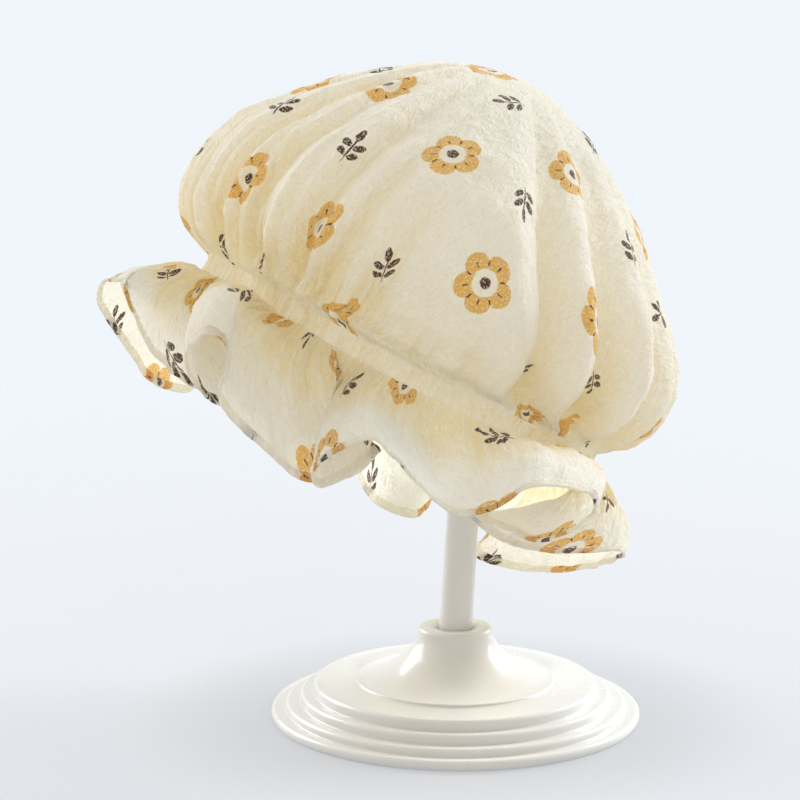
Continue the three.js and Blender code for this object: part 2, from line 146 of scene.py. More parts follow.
# The ruffle's hem, once round the cap: the angle of the casing that the cloth hangs from, and the hem's
# place across to the right end, away to the far side, and up along the cap's axis. Where the hem doubles
# back on itself, the ruffle folds into a pleat like a tunnel.
HEM_NAMES = ("at", "across", "away", "up")
HEM_POINTS = [
    (16, -91, -55, -13), (21, -76, -57, -25), (25, -61, -52, -31), (28, -35, -44, -32),
    (31, -25, -56, -28), (34.5, -49, -63, -31), (38.5, -60, -73, -25), (43, -63, -82, -17),
    (47, -60, -88, -9), (51, -53, -90, -9), (54, -49, -89, -16), (57, -45, -82, -28),
    (60.5, -29, -75, -35), (64.5, -14, -76, -38), (68, 0, -64, -32), (71, 3, -72, -20),
    (74, -2, -80, -29), (76.5, -9, -84, -36), (79, -13, -91, -32), (81.5, -12, -100, -24),
    (84, -6, -106, -15), (87, 0, -109, -11), (93, 15, -106, -17), (99, 28, -101, -21),
    (105, 35, -100, -19), (112, 41, -104, -11), (118, 45, -104, -3), (127, 56, -99, 1),
    (135, 67, -90, 1), (139, 69, -86, -7), (145, 63, -76, -20), (151, 52, -62, -25),
    (157, 40, -46, -28), (161, 54, -40, -32), (167, 74, -42, -26), (174, 91, -36, -18),
    (179, 96, -22, -23), (190, 93, 12, -37), (198, 83, 26, -47), (206, 71, 38, -54),
    (213, 61, 48, -56), (220, 66, 74, -51), (228, 60, 96, -42), (237, 46, 97, -44),
    (245, 40, 80, -54), (252, 36, 68, -58), (259, 24, 68, -60), (266, 14, 84, -58),
    (273, 4, 100, -50), (281, -10, 98, -48), (288, -18, 80, -57), (294, -30, 76, -55),
    (300, -42, 90, -44), (307, -54, 92, -35), (313, -60, 74, -44), (319, -62, 58, -52),
    (325, -70, 44, -53), (332, -77, 34, -51), (341, -90, 20, -41), (348, -102, 8, -31),
    (351, -104, 1, -22), (353.5, -99, -4, -18), (356, -101, -10, -19), (359, -97, -16, -15),
    (361.5, -99, -22, -17), (364, -95, -28, -14), (367, -93, -34, -16),
]

# Fineness of the cloth's meshes, how much closer the columns stand on the near side, how finely that is
# worked out, and how many cells the noise has before it repeats
CROWN_COLUMNS = 1200
CROWN_ROWS = 80
RUFFLE_COLUMNS = 1800
RUFFLE_ROWS = 42
RUFFLE_STEP = RUFFLE_WIDTH / RUFFLE_ROWS
CASING_ROWS = 15
NEAR_BIAS = 0.4
BIAS_SAMPLES = 4000
NOISE_CELLS = 256

# A fold across its valley, in shares of its width: the drop on the left for a crisp crest, and how much
# wider it is for a round one; the rise on the right, how it bends, and the flat floor before a round rise;
# and the height, place and width of the puff left of the crest
DROP_WIDTH = 0.5
DROP_WIDENS = 0.9
RISE_WIDTH = 2.0
RISE_BEND = 1.7
VALLEY_FLOOR = 0.12
PUFF_HEIGHT = 0.22
PUFF_PLACE = 1.3
PUFF_WIDTH = 0.9

# A fold on its way up: how far it sways in degrees, how often and how differently from its neighbours, how
# much it widens, and where it starts to die out
SWAY = 1.1
SWAY_TURN = 6.0
SWAY_SPREAD = 1.7
FOLD_WIDENS = 0.5
FOLD_FADE = 0.35
CREASE_BEGIN = 0.16

# Gathers: soft pleats of many lengths that run out of the casing between the main folds, with how far they
# stray in shares of the gap between two, and how far they lean off the cloth's own line in degrees
PLEAT_COUNT = 110
PLEAT_DEPTH = (0.9, 2.3)
PLEAT_WIDTH = (1.1, 2.3)
PLEAT_REACH = (0.5, 1.5)
PLEAT_STRAY = 0.4
PLEAT_LEAN = 5.0
PLEAT_BEGIN = 0.12
RUFFLE_PLEAT_DEPTH = 0.9
RUFFLE_PLEAT_REACH = (0.3, 1.0)
RUFFLE_PLEAT_LEAN = 4.0

# The gathers' reach at which the cloth is still smooth, and at which it is gathered in full
GATHERED = (0.05, 0.55)

# Puckers: how many stand side by side round the casing and how unevenly, how deep they are, how round and
# skewed their ridges are, and the shares of the fine ones and of the broad ones that wander between them
PUCKER_COUNT = 184
PUCKER_DRIFT = 0.9
PUCKER_JITTER = 0.5
CASING_PUCKER = 1.6
PUCKER_CREST = 0.25
PUCKER_SKEW = 0.5
FINE_SHARE = 0.75
BROAD_SHARE = 0.55
BROAD_WANDER = 1.2

# A pucker's share of that depth: the usual one, how much it changes round the casing, and the least
PUCKER_USUAL = 0.66
PUCKER_UNEVEN = 0.34
PUCKER_LEAST = 0.15

# How the puckers carry on past the seams, in shares of the way along crown and ruffle: where they have
# taken over from the casing's own, where they begin to fade and are gone, and how much deeper they are. On
# the crown they end further up where the gathers reach higher, and lean less than the folds.
CROWN_SEAM = 0.07
CROWN_FINE_FADE = 0.12
CROWN_FINE_REACH = 0.25
CROWN_FINE_DEPTH = 1.2
CROWN_FINE_LEAN = 0.5
RUFFLE_SEAM = 0.12
RUFFLE_FINE_BEGIN = 0.08
RUFFLE_FINE_FADE = (0.14, 0.6)
RUFFLE_FINE_DEPTH = 2.2

# How much of the gathers' common depth is taken back near the casing, so that crown, casing and ruffle flow
# into each other, where that dies out, and how many waves round the cap count as common
CROWN_FLUSH = 0.3
CROWN_FLUSH_FADE = (0.12, 0.4)
RUFFLE_FLUSH = 0.7
RUFFLE_FLUSH_FADE = (0.2, 0.7)
FLUSH_WAVES = 20

# The casing: how much narrower its middle is, how far the puckers slip sideways there, and the height and
# size of its crumple in degrees and millimetres
CASING_WAIST = 0.3
CASING_SLIP = 0.35
CASING_CRUMPLE = 0.3
CASING_CRUMPLE_ROUND = 0.9
CASING_CRUMPLE_UP = 2.4

# How far the sewing pulls the cloth in, and how near the seam that is felt: as a share of the casing's bulge
# and of the way along crown and ruffle
STITCH_PINCH = 0.12
CASING_PINCH_REACH = 0.25
CROWN_PINCH_REACH = 0.012
RUFFLE_PINCH_REACH = 0.03

# The gauze's own crumple: the width of each kind of dimple, where its noise starts, its share of the height,
# and whether it makes sharp puckers. It begins over a share of the way along crown and ruffle.
CRUMPLE = [
    (9.0, 0.0, 0.0, 0.42, False),
    (4.2, 7.3, 2.9, 0.28, False),
    (1.9, 3.1, 5.7, 0.12, False),
    (6.0, 1.7, 9.1, 0.18, True),
]
CROWN_CRUMPLE_BEGIN = 0.05
RUFFLE_CRUMPLE_BEGIN = 0.1

# Flutter of the ruffle's edge: its height, where it begins, the length of a wave along the hem, and how
# many waves lie down the ruffle
FLUTTER = 0.45
FLUTTER_BEGIN = 0.72
FLUTTER_ALONG = 5.5
FLUTTER_DOWN = 2.0

# How much painted shade the cloth's colour carries where it neither folds in nor puffs out, by how much more
# painted shade it carries close to the casing, on the crown and on the ruffle, and how far along that reaches
FLAT_SHADE = 0.13
CASING_SHADE = 0.3
CASING_SHADE_REACH = 0.3
RUFFLE_SHADE = 0.85
RUFFLE_SHADE_FADE = (0.1, 0.85)

# How much painted shade the crown's folding, the puckers beside the casing and those on it put into the
# colour, and the depth at which a crease and a gather count as folded in full
CROWN_SHADE = 0.5
SEAM_SHADE = 0.5
PUCKER_SHADE = 0.6
CREASE_FULL = 7.0
CROWN_GATHER_FULL = 2.6
RUFFLE_GATHER_FULL = 2.8

# The cloth laid flat: how the folds share out the spare width, how far the ruffle's depth keeps to its even
# width, how full the casing is gathered, and where casing and ruffle start, so that no print crosses a seam
FOLDED_MOST = 1.5
SPARE_BEND = 1.5
SPARE_LEAST = 0.15
RUFFLE_EVEN = 0.4
CASING_FULLNESS = 1.6
CASING_FLAT_START = 300.0
RUFFLE_FLAT_START = 400.0

# Hem: a narrow band turned to the inside and sewn down, with the angles of its round edge, how far its free
# edge stands off the cloth, how much cloth the turn takes, and how deep, where and how wide the seam pulls in
HEM_BAND = 2.4
HEM_ROUND = 0.5
HEM_TURNS = (45.0, 90.0, 135.0, 180.0)
HEM_EDGE_LIFT = 0.12
HEM_FLAT_TURN = 2.0
HEM_PINCH = 0.3
HEM_SEAM_INSET = 0.6
HEM_SEAM_WIDTH = 0.7

# Stitches: how far apart they start, their radius, their share of that gap, their sides, how far the middle
# stands over the cloth and the tips dip into it, and their shape as places along the stitch with the share
# of the radius there
CASING_STITCH_PITCH = 2.7
HEM_STITCH_PITCH = 2.6
STITCH_RADIUS = 0.2
STITCH_SHARE = 0.66
STITCH_SIDES = 6
STITCH_LIFT = 0.1
STITCH_DIP = 0.55
STITCH_SHAPE = [(-0.5, 0.0), (-0.38, 0.75), (0.0, 1.0), (0.38, 0.75), (0.5, 0.0)]

# Stand. An eased corner is given by its points, each so far out and so far up from the corner. The treads
# dip towards the next step, and the outlines round the axis begin and end just beside it.
BASE_SEGMENTS = 240
ROUND_STEPS = 6
LIP_ROUND = 1.6
STEP_SLOPE = 0.35
BASE_STEPS = [(65.0, 3.5), (60.0, 5.9), (54.8, 9.0), (50.0, 12.4)]
FOOT_EDGE = [(-1.4, 0.0), (-0.5, 0.15), (0.0, 0.7)]
STEP_GROOVE = [(0.5, 0.0), (0.12, 0.1), (0.0, 0.5)]
DISC_GROOVE = [(0.5, -0.1), (0.0, 0.25)]
DISC_RADIUS = 35.3
DISC_TOP = 13.4
DISC_ROUND = 0.75
HUB_FLARE_RADIUS = 34.2
HUB_NECK_RADIUS = 13.3
HUB_NECK_HEIGHT = 29.5
HUB_FLARE_POWER = 1.25
HUB_STEPS = 32
HUB_TOP = 31.7
HUB_ROUND = 1.4
SOCKET_FLOOR = 12.0
SOCKET_RADIUS = 6.2
SOCKET_EDGE = [(2.2, 0.0), (1.7, -0.25)]
SOCKET_CHAMFER = 0.6
POLE_LEAN = math.radians(3.5)
POLE_FOOT_X = -1.8
POLE_FOOT_RADIUS = 5.9
POLE_TOP_RADIUS = 4.9
POLE_BOTTOM = 13.0
POLE_TOP = 189.0
POLE_CHAMFER = 0.4
POLE_STEPS = 24
POLE_GAP = 0.3
DOME_RADIUS = 44.0
DOME_WALL = 2.5
DOME_CENTRE = 173.3
DOME_RIM = 8.0
DOME_INNER_STEPS = 24
DOME_OUTER_STEPS = 40
BOSS_RADIUS = 8.5
BOSS_BOTTOM = 6.0
BOSS_HOLE_TOP = 17.0
AXIS_RADIUS = 0.01
AXIS_TURN = 0.0003

# The weave: threads to the metre, and how many spots of noise go to a thread, across and up, for the warp,
# the weft, the thick places in the thread, the blisters of the double cloth and the crepe between them. A
# thread or thick place begins to show at the first noise value and shows in full at the second.
THREADS_PER_METRE = 1700.0
WARP_SPOTS = (1.0, 0.42)
WEFT_SPOTS = (0.42, 1.0)
SLUB_SPOTS = (0.16, 0.16)
BLISTER_SPOTS = (0.17, 0.1)
CREPE_SPOTS = (0.5, 0.2)
THREAD_SEEN = (0.42, 0.7)
SLUB_SEEN = (0.25, 0.7)
THREAD_HEIGHT = 0.45
SLUB_HEIGHT = 0.5
CREPE_HEIGHT = 1.8
BLISTER_HEIGHT = 5.0

# The print: the gap between two motifs in metres, how far they stray, and how thread ends fray and break up
# the ink. The motifs' own sizes are shares of that gap, and an edge runs from where its mask begins to where
# it is full.
PRINT_SPACING = 0.036
PRINT_STRAY = 0.42
FRAY_SCALE = 900.0
FRAY = (0.0007, 0.0007, 0.0)
INK_SCALE = 1500.0
INK_SEEN = (0.3, 0.5)
INK_LEAST = 0.55
BLOSSOM_PETALS = 5
PETAL_BEND = 0.6
PETAL_DEPTH = 0.085
PETAL_NOTCH = 0.19
PETAL_EDGE = 0.008
HEART_EDGE = (0.128, 0.112)
EYE_EDGE = (0.058, 0.044)
BLOSSOM_RAYS = 10
RAY_START = (0.14, 0.15)
RAY_END = (0.2, 0.19)
RAY_EDGE = (0.86, 0.95)
LEAF_EDGE = (1.12, 0.9)

# The sprig's leaf pairs, then its tip leaf and its stem: middle, half sizes before the turn, and the turn in
# degrees
LEAF_PAIRS = [((0.072, 0.02), (0.07, 0.033), 40.0), ((0.068, -0.085), (0.062, 0.03), 40.0)]
TIP_AND_STEM = [((0.0, 0.125), (0.03, 0.07), 0.0), ((0.0, -0.04), (0.009, 0.15), 0.0)]

# Colours of the cloth on its ridges and of its painted shade in full in its valleys, of the light that comes
# through there, yellower in the valleys by the same painted shade, and of the painted glint where a thread
# comes up, then the inks on the cloth and in that light by the mask that they fill
RIDGE_COLOUR = (0.94, 0.935, 0.895, 1.0)
VALLEY_PAINTED_SHADE = (0.91, 0.815, 0.61, 1.0)
RIDGE_GLOW = (0.97, 0.92, 0.77, 1.0)
VALLEY_GLOW = (0.97, 0.82, 0.46, 1.0)
SPECK_GLINT_COLOUR = (0.98, 0.975, 0.95, 1.0)
CLOTH_INKS = [
    ("Clear", (0.94, 0.92, 0.86, 1.0)),
    ("Ochre", (0.85, 0.53, 0.15, 1.0)),
    ("Brown", (0.075, 0.036, 0.026, 1.0)),
]
GLOW_INKS = [("Ochre", (0.8, 0.46, 0.1, 1.0)), ("Brown", (0.12, 0.06, 0.04, 1.0))]

# How the cloth's random tone and painted shade come about: patches of tone, the painted shade of the folds,
# less painted shade where a thread comes up, and the range that runs from the ridge's colour to the valley's
# painted shade
PATCH_SCALE = 45.0
PATCH_SHARE = 0.3
SPECK_LESS_SHADE = 0.3
SPECK_GLINT = 0.7
SHADE_AND_TONE_RANGE = (0.0, 1.05)

# The cloth's surface
CLOTH_ROUGH = (0.96, 0.82)
CLOTH_SHEEN = 0.5
CLOTH_SHEEN_ROUGH = 0.45
CLOTH_SPECULAR = 0.2
CLOTH_THROUGH = 0.5
CLOTH_BUMP = 0.8
CLOTH_BUMP_HEIGHT = 0.00045

# Sewing thread
TWIST_SCALE = 3000.0
TWIST_SEEN = (0.3, 0.7)
THREAD_COLOURS = ((0.9, 0.84, 0.68, 1.0), (0.96, 0.94, 0.88, 1.0))
THREAD_ROUGH = (0.6, 0.8)

# Moulded plastic
FLOW_SCALE = 26.0
FLOW_SEEN = (0.3, 0.7)
PLASTIC_COLOURS = ((0.7, 0.69, 0.66, 1.0), (0.72, 0.71, 0.685, 1.0))
FLOW_ROUGH_SEEN = (0.2, 0.8)
FLOW_ROUGH = (0.2, 0.24)
SCUFF_SCALE = 420.0
SCUFF_SEEN = (0.35, 0.75)
SCUFF_ROUGH = 0.05
PLASTIC_IOR = 1.49
PLASTIC_COAT = 0.2
PLASTIC_COAT_ROUGH = 0.12

# Floor: radius and where it begins to fade in metres, how much darker its painted shadow beside the base
# makes it and over what radii that fades, and its colours
FLOOR_RADIUS = 1.1
FLOOR_FADE = 0.15
FLOOR_PAINTED_SHADOW = 0.82
FLOOR_SHADOW_FADE = (0.066, 0.125)
FLOOR_SIDES = 96
FLOOR_CLOUD_SCALE = 3.0
FLOOR_COLOURS = ((0.17, 0.17, 0.17, 1.0), (0.19, 0.19, 0.19, 1.0))
FLOOR_GLOWS = ((0.49, 0.51, 0.545, 1.0), (0.51, 0.53, 0.565, 1.0))
FLOOR_ROUGH = 0.5
FLOOR_SPECULAR = 0.2

# Lights: name, place, width and height in metres, power in watts, and colour
LIGHT_TARGET = (-0.02, 0.0, 0.13)
LIGHTS = [
    ("window", (2.5, 1.6, 1.55), (1.3, 1.3), 116.0, (0.96, 0.98, 1.0)),
    ("back left", (-2.3, 1.6, 1.5), (1.8, 1.8), 62.0, (0.98, 0.985, 1.0)),
]

# The light all round: the way to its cool side, how sharply it changes, and its warm and cool colours
COOL_SIDE = (0.2, 0.9, 0.35)
COOL_FADE = (-0.6, 0.6)
WORLD_COLOURS = ((0.835, 0.8, 0.73, 1.0), (0.87, 0.92, 0.965, 1.0))

# The photograph's own viewpoint: in front of the cap, just under the crown's top and tilted down 8 degrees
CAMERA_PLACE = (-0.0195, -0.669, 0.206)
CAMERA_TILT = math.radians(82.0)
CAMERA_SENSOR = 36.0
CAMERA_LENS = 87.57

# The cap's own directions: to its right end, to the far side, and up along the crown
ACROSS = np.array([math.cos(RING_LEAN), 0.0, -math.sin(RING_LEAN)])
AWAY = np.array([0.0, 1.0, 0.0])
UP = np.array([math.sin(RING_LEAN), 0.0, math.cos(RING_LEAN)])


# Reading the tables

def column(table, names, name):
    """One named column of a table, from its first row to its last."""
    return np.array([row[names.index(name)] for row in table], float)


def smooth(low, high, x):
    """0 below the low value, 1 above the high one, and a soft step between them."""
    t = np.clip((x - low) / (high - low), 0.0, 1.0)
    return t * t * (3.0 - 2.0 * t)


def catmull_rom(before, start, end, after, f):
    """A smooth curve from start to end at the share f, with the values on either side."""
    linear = (end - before) * f
    square = (2 * before - 5 * start + 4 * end - after) * f**2
    cube = (3 * start - before - 3 * end + after) * f**3
    return 0.5 * (2 * start + linear + square + cube)


def read_open(values, along):
    """A smooth line through the values, at a share of the way from the first to the last."""
    last = len(values) - 1
    place = np.clip(along, 0.0, 1.0) * last
    row = np.minimum(place.astype(int), last - 1)
    padded = np.concatenate([[2 * values[0] - values[1]], values, [2 * values[-1] - values[-2]]])
    return catmull_rom(padded[row], padded[row + 1], padded[row + 2], padded[row + 3], place - row)


def read_closed(values, around, rise=0.0):
    """A smooth closed line through the values, which grow by the rise with each turn."""
    count = len(values)
    place = around * count
    row = np.floor(place).astype(int)

    def value(index):
        turns = np.floor_divide(index, count)
        return values[index - turns * count] + turns * rise

    return catmull_rom(value(row - 1), value(row), value(row + 1), value(row + 2), place - row)


def read_ring(table, names, name, degrees):
    """A named column at an angle round the casing."""
    return np.interp(np.mod(degrees, TURN), column(table, names, "at"), column(table, names, name))


# Irregularity

def soft_noise(x, y, seed):
    """Smooth value noise between -1 and 1, one cell wide per unit."""
    values = np.random.default_rng(seed).uniform(-1.0, 1.0, (NOISE_CELLS, NOISE_CELLS))
    column_at = np.floor(x).astype(int)
    row_at = np.floor(y).astype(int)
    fx = smooth(0.0, 1.0, x - column_at)
    fy = smooth(0.0, 1.0, y - row_at)

    def corner(dx, dy):
        return values[(column_at + dx) % NOISE_CELLS, (row_at + dy) % NOISE_CELLS]

    low = corner(0, 0) * (1 - fx) + corner(1, 0) * fx
    high = corner(0, 1) * (1 - fx) + corner(1, 1) * fx
    return low * (1 - fy) + high * fy


def ring_noise(degrees, waves, seed):
    """Smooth noise round the casing that meets itself, between about -1 and 1."""
    random = np.random.default_rng(seed)
    angle = np.radians(degrees)
    total = np.zeros_like(angle)
    for wave in waves:
        total += random.uniform(0.5, 1.0) * np.sin(wave * angle + random.uniform(0.0, 2 * math.pi))
    return total / math.sqrt(len(waves))


# Cap surfaces

def cap_point(across, away, up):
    """The point so far across, away and up from the casing's middle, in the cap's own directions."""
    return (
        RING_CENTRE
        + np.multiply.outer(across, ACROSS)
        + np.multiply.outer(away, AWAY)
        + np.multiply.outer(up, UP)
    )


def ring_lift(degrees):
    """How much higher than a flat circle the casing runs: up on the near side, down on the far side."""
    side = np.sin(np.radians(degrees))
    return RING_NEAR_RISE * side - RING_SAG * side**2


def ring_point(degrees, radius, up):
    """The point at an angle round the casing, so far out and so far up from it."""
    angle = np.radians(degrees)
    lift = ring_lift(degrees)
    return cap_point(-np.cos(angle) * radius, -np.sin(angle) * radius, lift + up)


def ring_outward(degrees):
    """The way straight out from the casing's middle."""
    angle = np.radians(degrees)
    return np.multiply.outer(-np.cos(angle), ACROSS) + np.multiply.outer(-np.sin(angle), AWAY)


def flow_lean(degrees):
    """How far a line of cloth leans round the cap on its way up, in degrees."""
    at = column(CROWN_CREASES, CREASE_NAMES, "at")
    lean = column(CROWN_CREASES, CREASE_NAMES, "lean")
    at = np.concatenate([at - TURN, at, at + TURN])
    lean = np.concatenate([lean, lean, lean])
    return np.interp(np.mod(degrees, TURN), at, lean)


def pucker_phase(degrees):
    """Which pucker an angle round the casing falls in, as a running angle with one turn to each pucker."""
    drift = PUCKER_DRIFT * ring_noise(degrees, waves=(5, 8, 13), seed=11)
    jitter = PUCKER_JITTER * ring_noise(degrees, waves=(29, 41, 53), seed=12)
    return np.radians((degrees + (drift + jitter)) * PUCKER_COUNT)


def pucker_wave(phase):
    """0 on a crisp ridge and 1 in a broad valley, with the ridge's right flank the steep one."""
    skewed = phase + PUCKER_SKEW * (1.0 - np.cos(phase))
    height = np.sqrt(np.sin(skewed / 2) ** 2 + PUCKER_CREST**2) - PUCKER_CREST
    return height / (math.sqrt(1.0 + PUCKER_CREST**2) - PUCKER_CREST)


def gather_strength(degrees):
    """How strongly the cloth is gathered: less on the near side, where it is pulled smooth."""
    return smooth(*GATHERED, read_ring(GATHER_REACH, GATHER_NAMES, "reach", degrees))


def casing_pucker(degrees):
    """How far the gathered cloth lies inside the casing's outer radius."""
    uneven = PUCKER_UNEVEN * ring_noise(degrees, waves=(9, 23, 37, 61), seed=13)
    depth = np.maximum(PUCKER_USUAL + uneven, PUCKER_LEAST)
    wander = BROAD_WANDER * ring_noise(degrees, waves=(11, 17, 31), seed=14)
    phase = pucker_phase(degrees)
    waves = FINE_SHARE * pucker_wave(phase) + BROAD_SHARE * pucker_wave(phase / 2 + wander)
    return CASING_PUCKER * depth * gather_strength(degrees) * waves


def fold_depth(apart, width, shoulder):
    """A fold's depth across its valley: a crisp crest or a round shoulder on the left, a steep drop, a
    flat floor and a long gentle rise on the right. The cloth left of the crest puffs out a little."""
    fallen = np.clip(1.0 + apart / ((DROP_WIDTH + DROP_WIDENS * shoulder) * width), 0.0, 1.0)
    crisp = np.sin(math.pi / 2 * fallen)
    round_drop = 1.0 - np.sqrt(1.0 - fallen**2)
    drop = crisp * (1.0 - shoulder) + round_drop * shoulder
    risen = np.clip(apart / (RISE_WIDTH * width), 0.0, 1.0)
    rise = 1.0 - risen**RISE_BEND * (1.0 - shoulder) - smooth(VALLEY_FLOOR, 1.0, risen) * shoulder
    puff = PUFF_HEIGHT * np.exp(-(((apart + PUFF_PLACE * width) / (PUFF_WIDTH * width)) ** 2))
    return np.where(apart < 0, drop, rise) - puff


def run_fold(degrees, along, at, depth, width, reach, lean, begin, shoulder=0.0):
    """One fold that runs along the cloth from its place on the casing and dies out."""
    sway = SWAY * np.sin(SWAY_TURN * along + SWAY_SPREAD * at) * along
    past = degrees - at - lean * along - sway
    apart = np.mod(past + TURN / 2, TURN) - TURN / 2
    fade = smooth(0.0, begin, along) * (1.0 - smooth(reach * FOLD_FADE, reach, along))
    return depth * fade * fold_depth(apart, width * (1.0 + FOLD_WIDENS * along), shoulder)


def crease_depth(degrees, along):
    """How far the main folds pull the crown in."""
    total = np.zeros_like(degrees)
    for at, depth, width, reach, lean, shoulder in CROWN_CREASES:
        total += run_fold(degrees, along, at, depth, width, reach, lean, CREASE_BEGIN, shoulder)
    return total


def pleat_place(number, random):
    """The angle of a pleat that strays a little from its even place round the casing."""
    return (number + random.uniform(-PLEAT_STRAY, PLEAT_STRAY)) * TURN / PLEAT_COUNT


def gather_depth(degrees, along):
    """How far the gathers between the main folds pull the crown in."""
    random = np.random.default_rng(seed=16)
    total = np.zeros_like(degrees)
    for number in range(PLEAT_COUNT):
        at = pleat_place(number, random)
        reach = read_ring(GATHER_REACH, GATHER_NAMES, "reach", at) * random.uniform(*PLEAT_REACH)
        lean = flow_lean(at) + random.uniform(-PLEAT_LEAN, PLEAT_LEAN)
        depth = random.uniform(*PLEAT_DEPTH)
        width = random.uniform(*PLEAT_WIDTH)
        total += run_fold(degrees, along, at, depth, width, reach, lean, PLEAT_BEGIN)
    reach = read_ring(GATHER_REACH, GATHER_NAMES, "reach", degrees)
    fading = smooth(CROWN_FINE_FADE, CROWN_FINE_REACH * (1.0 + reach), along)
    fine = smooth(0.0, CROWN_SEAM, along) * (1.0 - fading)
    puckers = casing_pucker(degrees - CROWN_FINE_LEAN * flow_lean(degrees) * along)
    return total * gather_strength(degrees) + CROWN_FINE_DEPTH * fine * puckers


def cap_columns():
    """The angles of the cap's columns, closer together on the near side."""
    angle = np.linspace(0.0, 2 * math.pi, BIAS_SAMPLES)
    share = (angle + NEAR_BIAS * (1.0 - np.cos(angle))) / (2 * math.pi)
    return np.degrees(np.interp(np.arange(CROWN_COLUMNS) / CROWN_COLUMNS, share, angle))


def grid_normals(grid):
    """Directions square to a grid of points that is closed round and open along."""
    around = np.roll(grid, -1, axis=0) - np.roll(grid, 1, axis=0)
    along = np.gradient(grid, axis=1)
    normal = np.cross(around, along)
    length = np.linalg.norm(normal, axis=2, keepdims=True)
    return normal / np.maximum(length, 1e-9)


def broad_part(values, waves):
    """What is left of the values round a closed line without all waves as fine as this many or finer."""
    parts = np.fft.rfft(values, axis=0)
    parts[waves:] = 0
    return np.fft.irfft(parts, n=len(values), axis=0)


def soften(values):
    """Rounds off what is sharper than the cloth's own thickness."""
    return (np.roll(values, 1, axis=0) + 2 * values + np.roll(values, -1, axis=0)) / 4


def seam_pucker(degrees, along, seam, pinch_reach):
    """How far crown or ruffle is drawn in beside the casing, and how closely it still follows the casing,
    from 1 at the seam to 0."""
    joined = 1.0 - smooth(0.0, seam, along)
    pinch = STITCH_PINCH * (1.0 - smooth(0.0, pinch_reach, along))
    return casing_pucker(degrees) * joined + pinch, joined


def crown_grid():
    """The crown's points, column by column round the cap, and how far each is folded in, which also carries
    the painted shade beside the seam.
    """
    rows = np.linspace(0.0, 1.0, CROWN_ROWS + 1)[:-1]
    degrees, along = np.meshgrid(cap_columns(), rows, indexing="ij")
    angle = np.radians(degrees)
    height, shift, half, near, far = (
        read_open(column(CROWN_SECTIONS, SECTION_NAMES, name), along) for name in SECTION_NAMES
    )
    depth = np.where(np.sin(angle) >= 0, near, far)
    radius = 1.0 / np.hypot(np.cos(angle) / half, np.sin(angle) / depth)
    low = 1.0 - smooth(*CROWN_FLAT_FADE, along)
    radius = radius - CROWN_FLAT * low * np.sin(2 * angle) ** 2 * (radius - RING_RADIUS)
    folds = crease_depth(degrees, along)
    gathers = gather_depth(degrees, along)
    lift = ring_lift(degrees) * (1.0 - smooth(0.0, LIFT_FADE, along))
    grid = cap_point(shift - np.cos(angle) * radius, -np.sin(angle) * radius, height + lift)
    sunk = CROWN_FLUSH * broad_part(gathers, FLUSH_WAVES) * (1.0 - smooth(*CROWN_FLUSH_FADE, along))
    deep = soften(np.minimum(folds + gathers - sunk, radius * FOLD_LIMIT))
    grid = grid - grid_normals(grid) * deep[:, :, None]
    pinched, joined = seam_pucker(degrees, along, CROWN_SEAM, CROWN_PINCH_REACH)
    grid = grid - ring_outward(degrees) * pinched[:, :, None]
    # Painted shade beside the casing seam, added to the folding
    at_seam = SEAM_SHADE * joined * pinched / CASING_PUCKER
    return grid, folds / CREASE_FULL + gathers / CROWN_GATHER_FULL + at_seam


def crown_flat(grid, folded):
    """Each point's place on the flat round piece of cloth, where the folds take up the spare width."""
    steps = np.linalg.norm(np.diff(grid, axis=1), axis=2)
    top = np.linalg.norm(grid[:, -1] - grid[:, -1].mean(axis=0), axis=1)
    from_top = np.concatenate([np.cumsum(steps[:, ::-1], axis=1)[:, ::-1], np.zeros((len(grid), 1))], axis=1)
    from_top = from_top + top[:, None]
    widths = np.linalg.norm(np.roll(grid, -1, axis=0) - grid, axis=2)
    folded = np.clip(folded, 0.0, FOLDED_MOST)
    whole = 2 * math.pi * from_top.mean(axis=0)
    spare = np.maximum(whole - widths.sum(axis=0), 0.0)
    takes = folded**SPARE_BEND + SPARE_LEAST
    widths = widths + takes / takes.sum(axis=0) * spare
    turn = np.cumsum(widths, axis=0) - widths
    angle = turn / widths.sum(axis=0) * 2 * math.pi
    return from_top * np.cos(angle), from_top * np.sin(angle)


def ruffle_grid():
    """The ruffle's points before its gathers, with their angle round the casing and share of the way down.
    Each column is a curve that leaves the casing by the table's flare and ends at the hem."""
    around, along = np.meshgrid(
        np.arange(RUFFLE_COLUMNS) / RUFFLE_COLUMNS,
        np.linspace(0.0, 1.0, RUFFLE_ROWS + 1),
        indexing="ij",
    )
    degrees = read_closed(column(HEM_POINTS, HEM_NAMES, "at"), around, TURN)
    across, away, up = (
        read_closed(column(HEM_POINTS, HEM_NAMES, name), around) for name in ("across", "away", "up")
    )
    hem = cap_point(across, away, up)
    start = ring_point(degrees, RING_RADIUS, np.full_like(degrees, -CASING_HALF))
    outward = ring_outward(degrees)
    reach = np.linalg.norm(start - hem, axis=2, keepdims=True) * RUFFLE_SPRING
    flare = np.radians(read_ring(RUFFLE_FLARE, FLARE_NAMES, "down", degrees))[:, :, None]
    bend = start + reach * (np.cos(flare) * outward - np.sin(flare) * UP)
    share = along[:, :, None]
    grid = start * (1 - share) ** 2 + 2 * bend * share * (1 - share) + hem * share**2
    lobes = hem - broad_part(hem, HEM_BROAD_WAVES)
    return grid + lobes * (share**LOBE_RISE - share**2), degrees, along


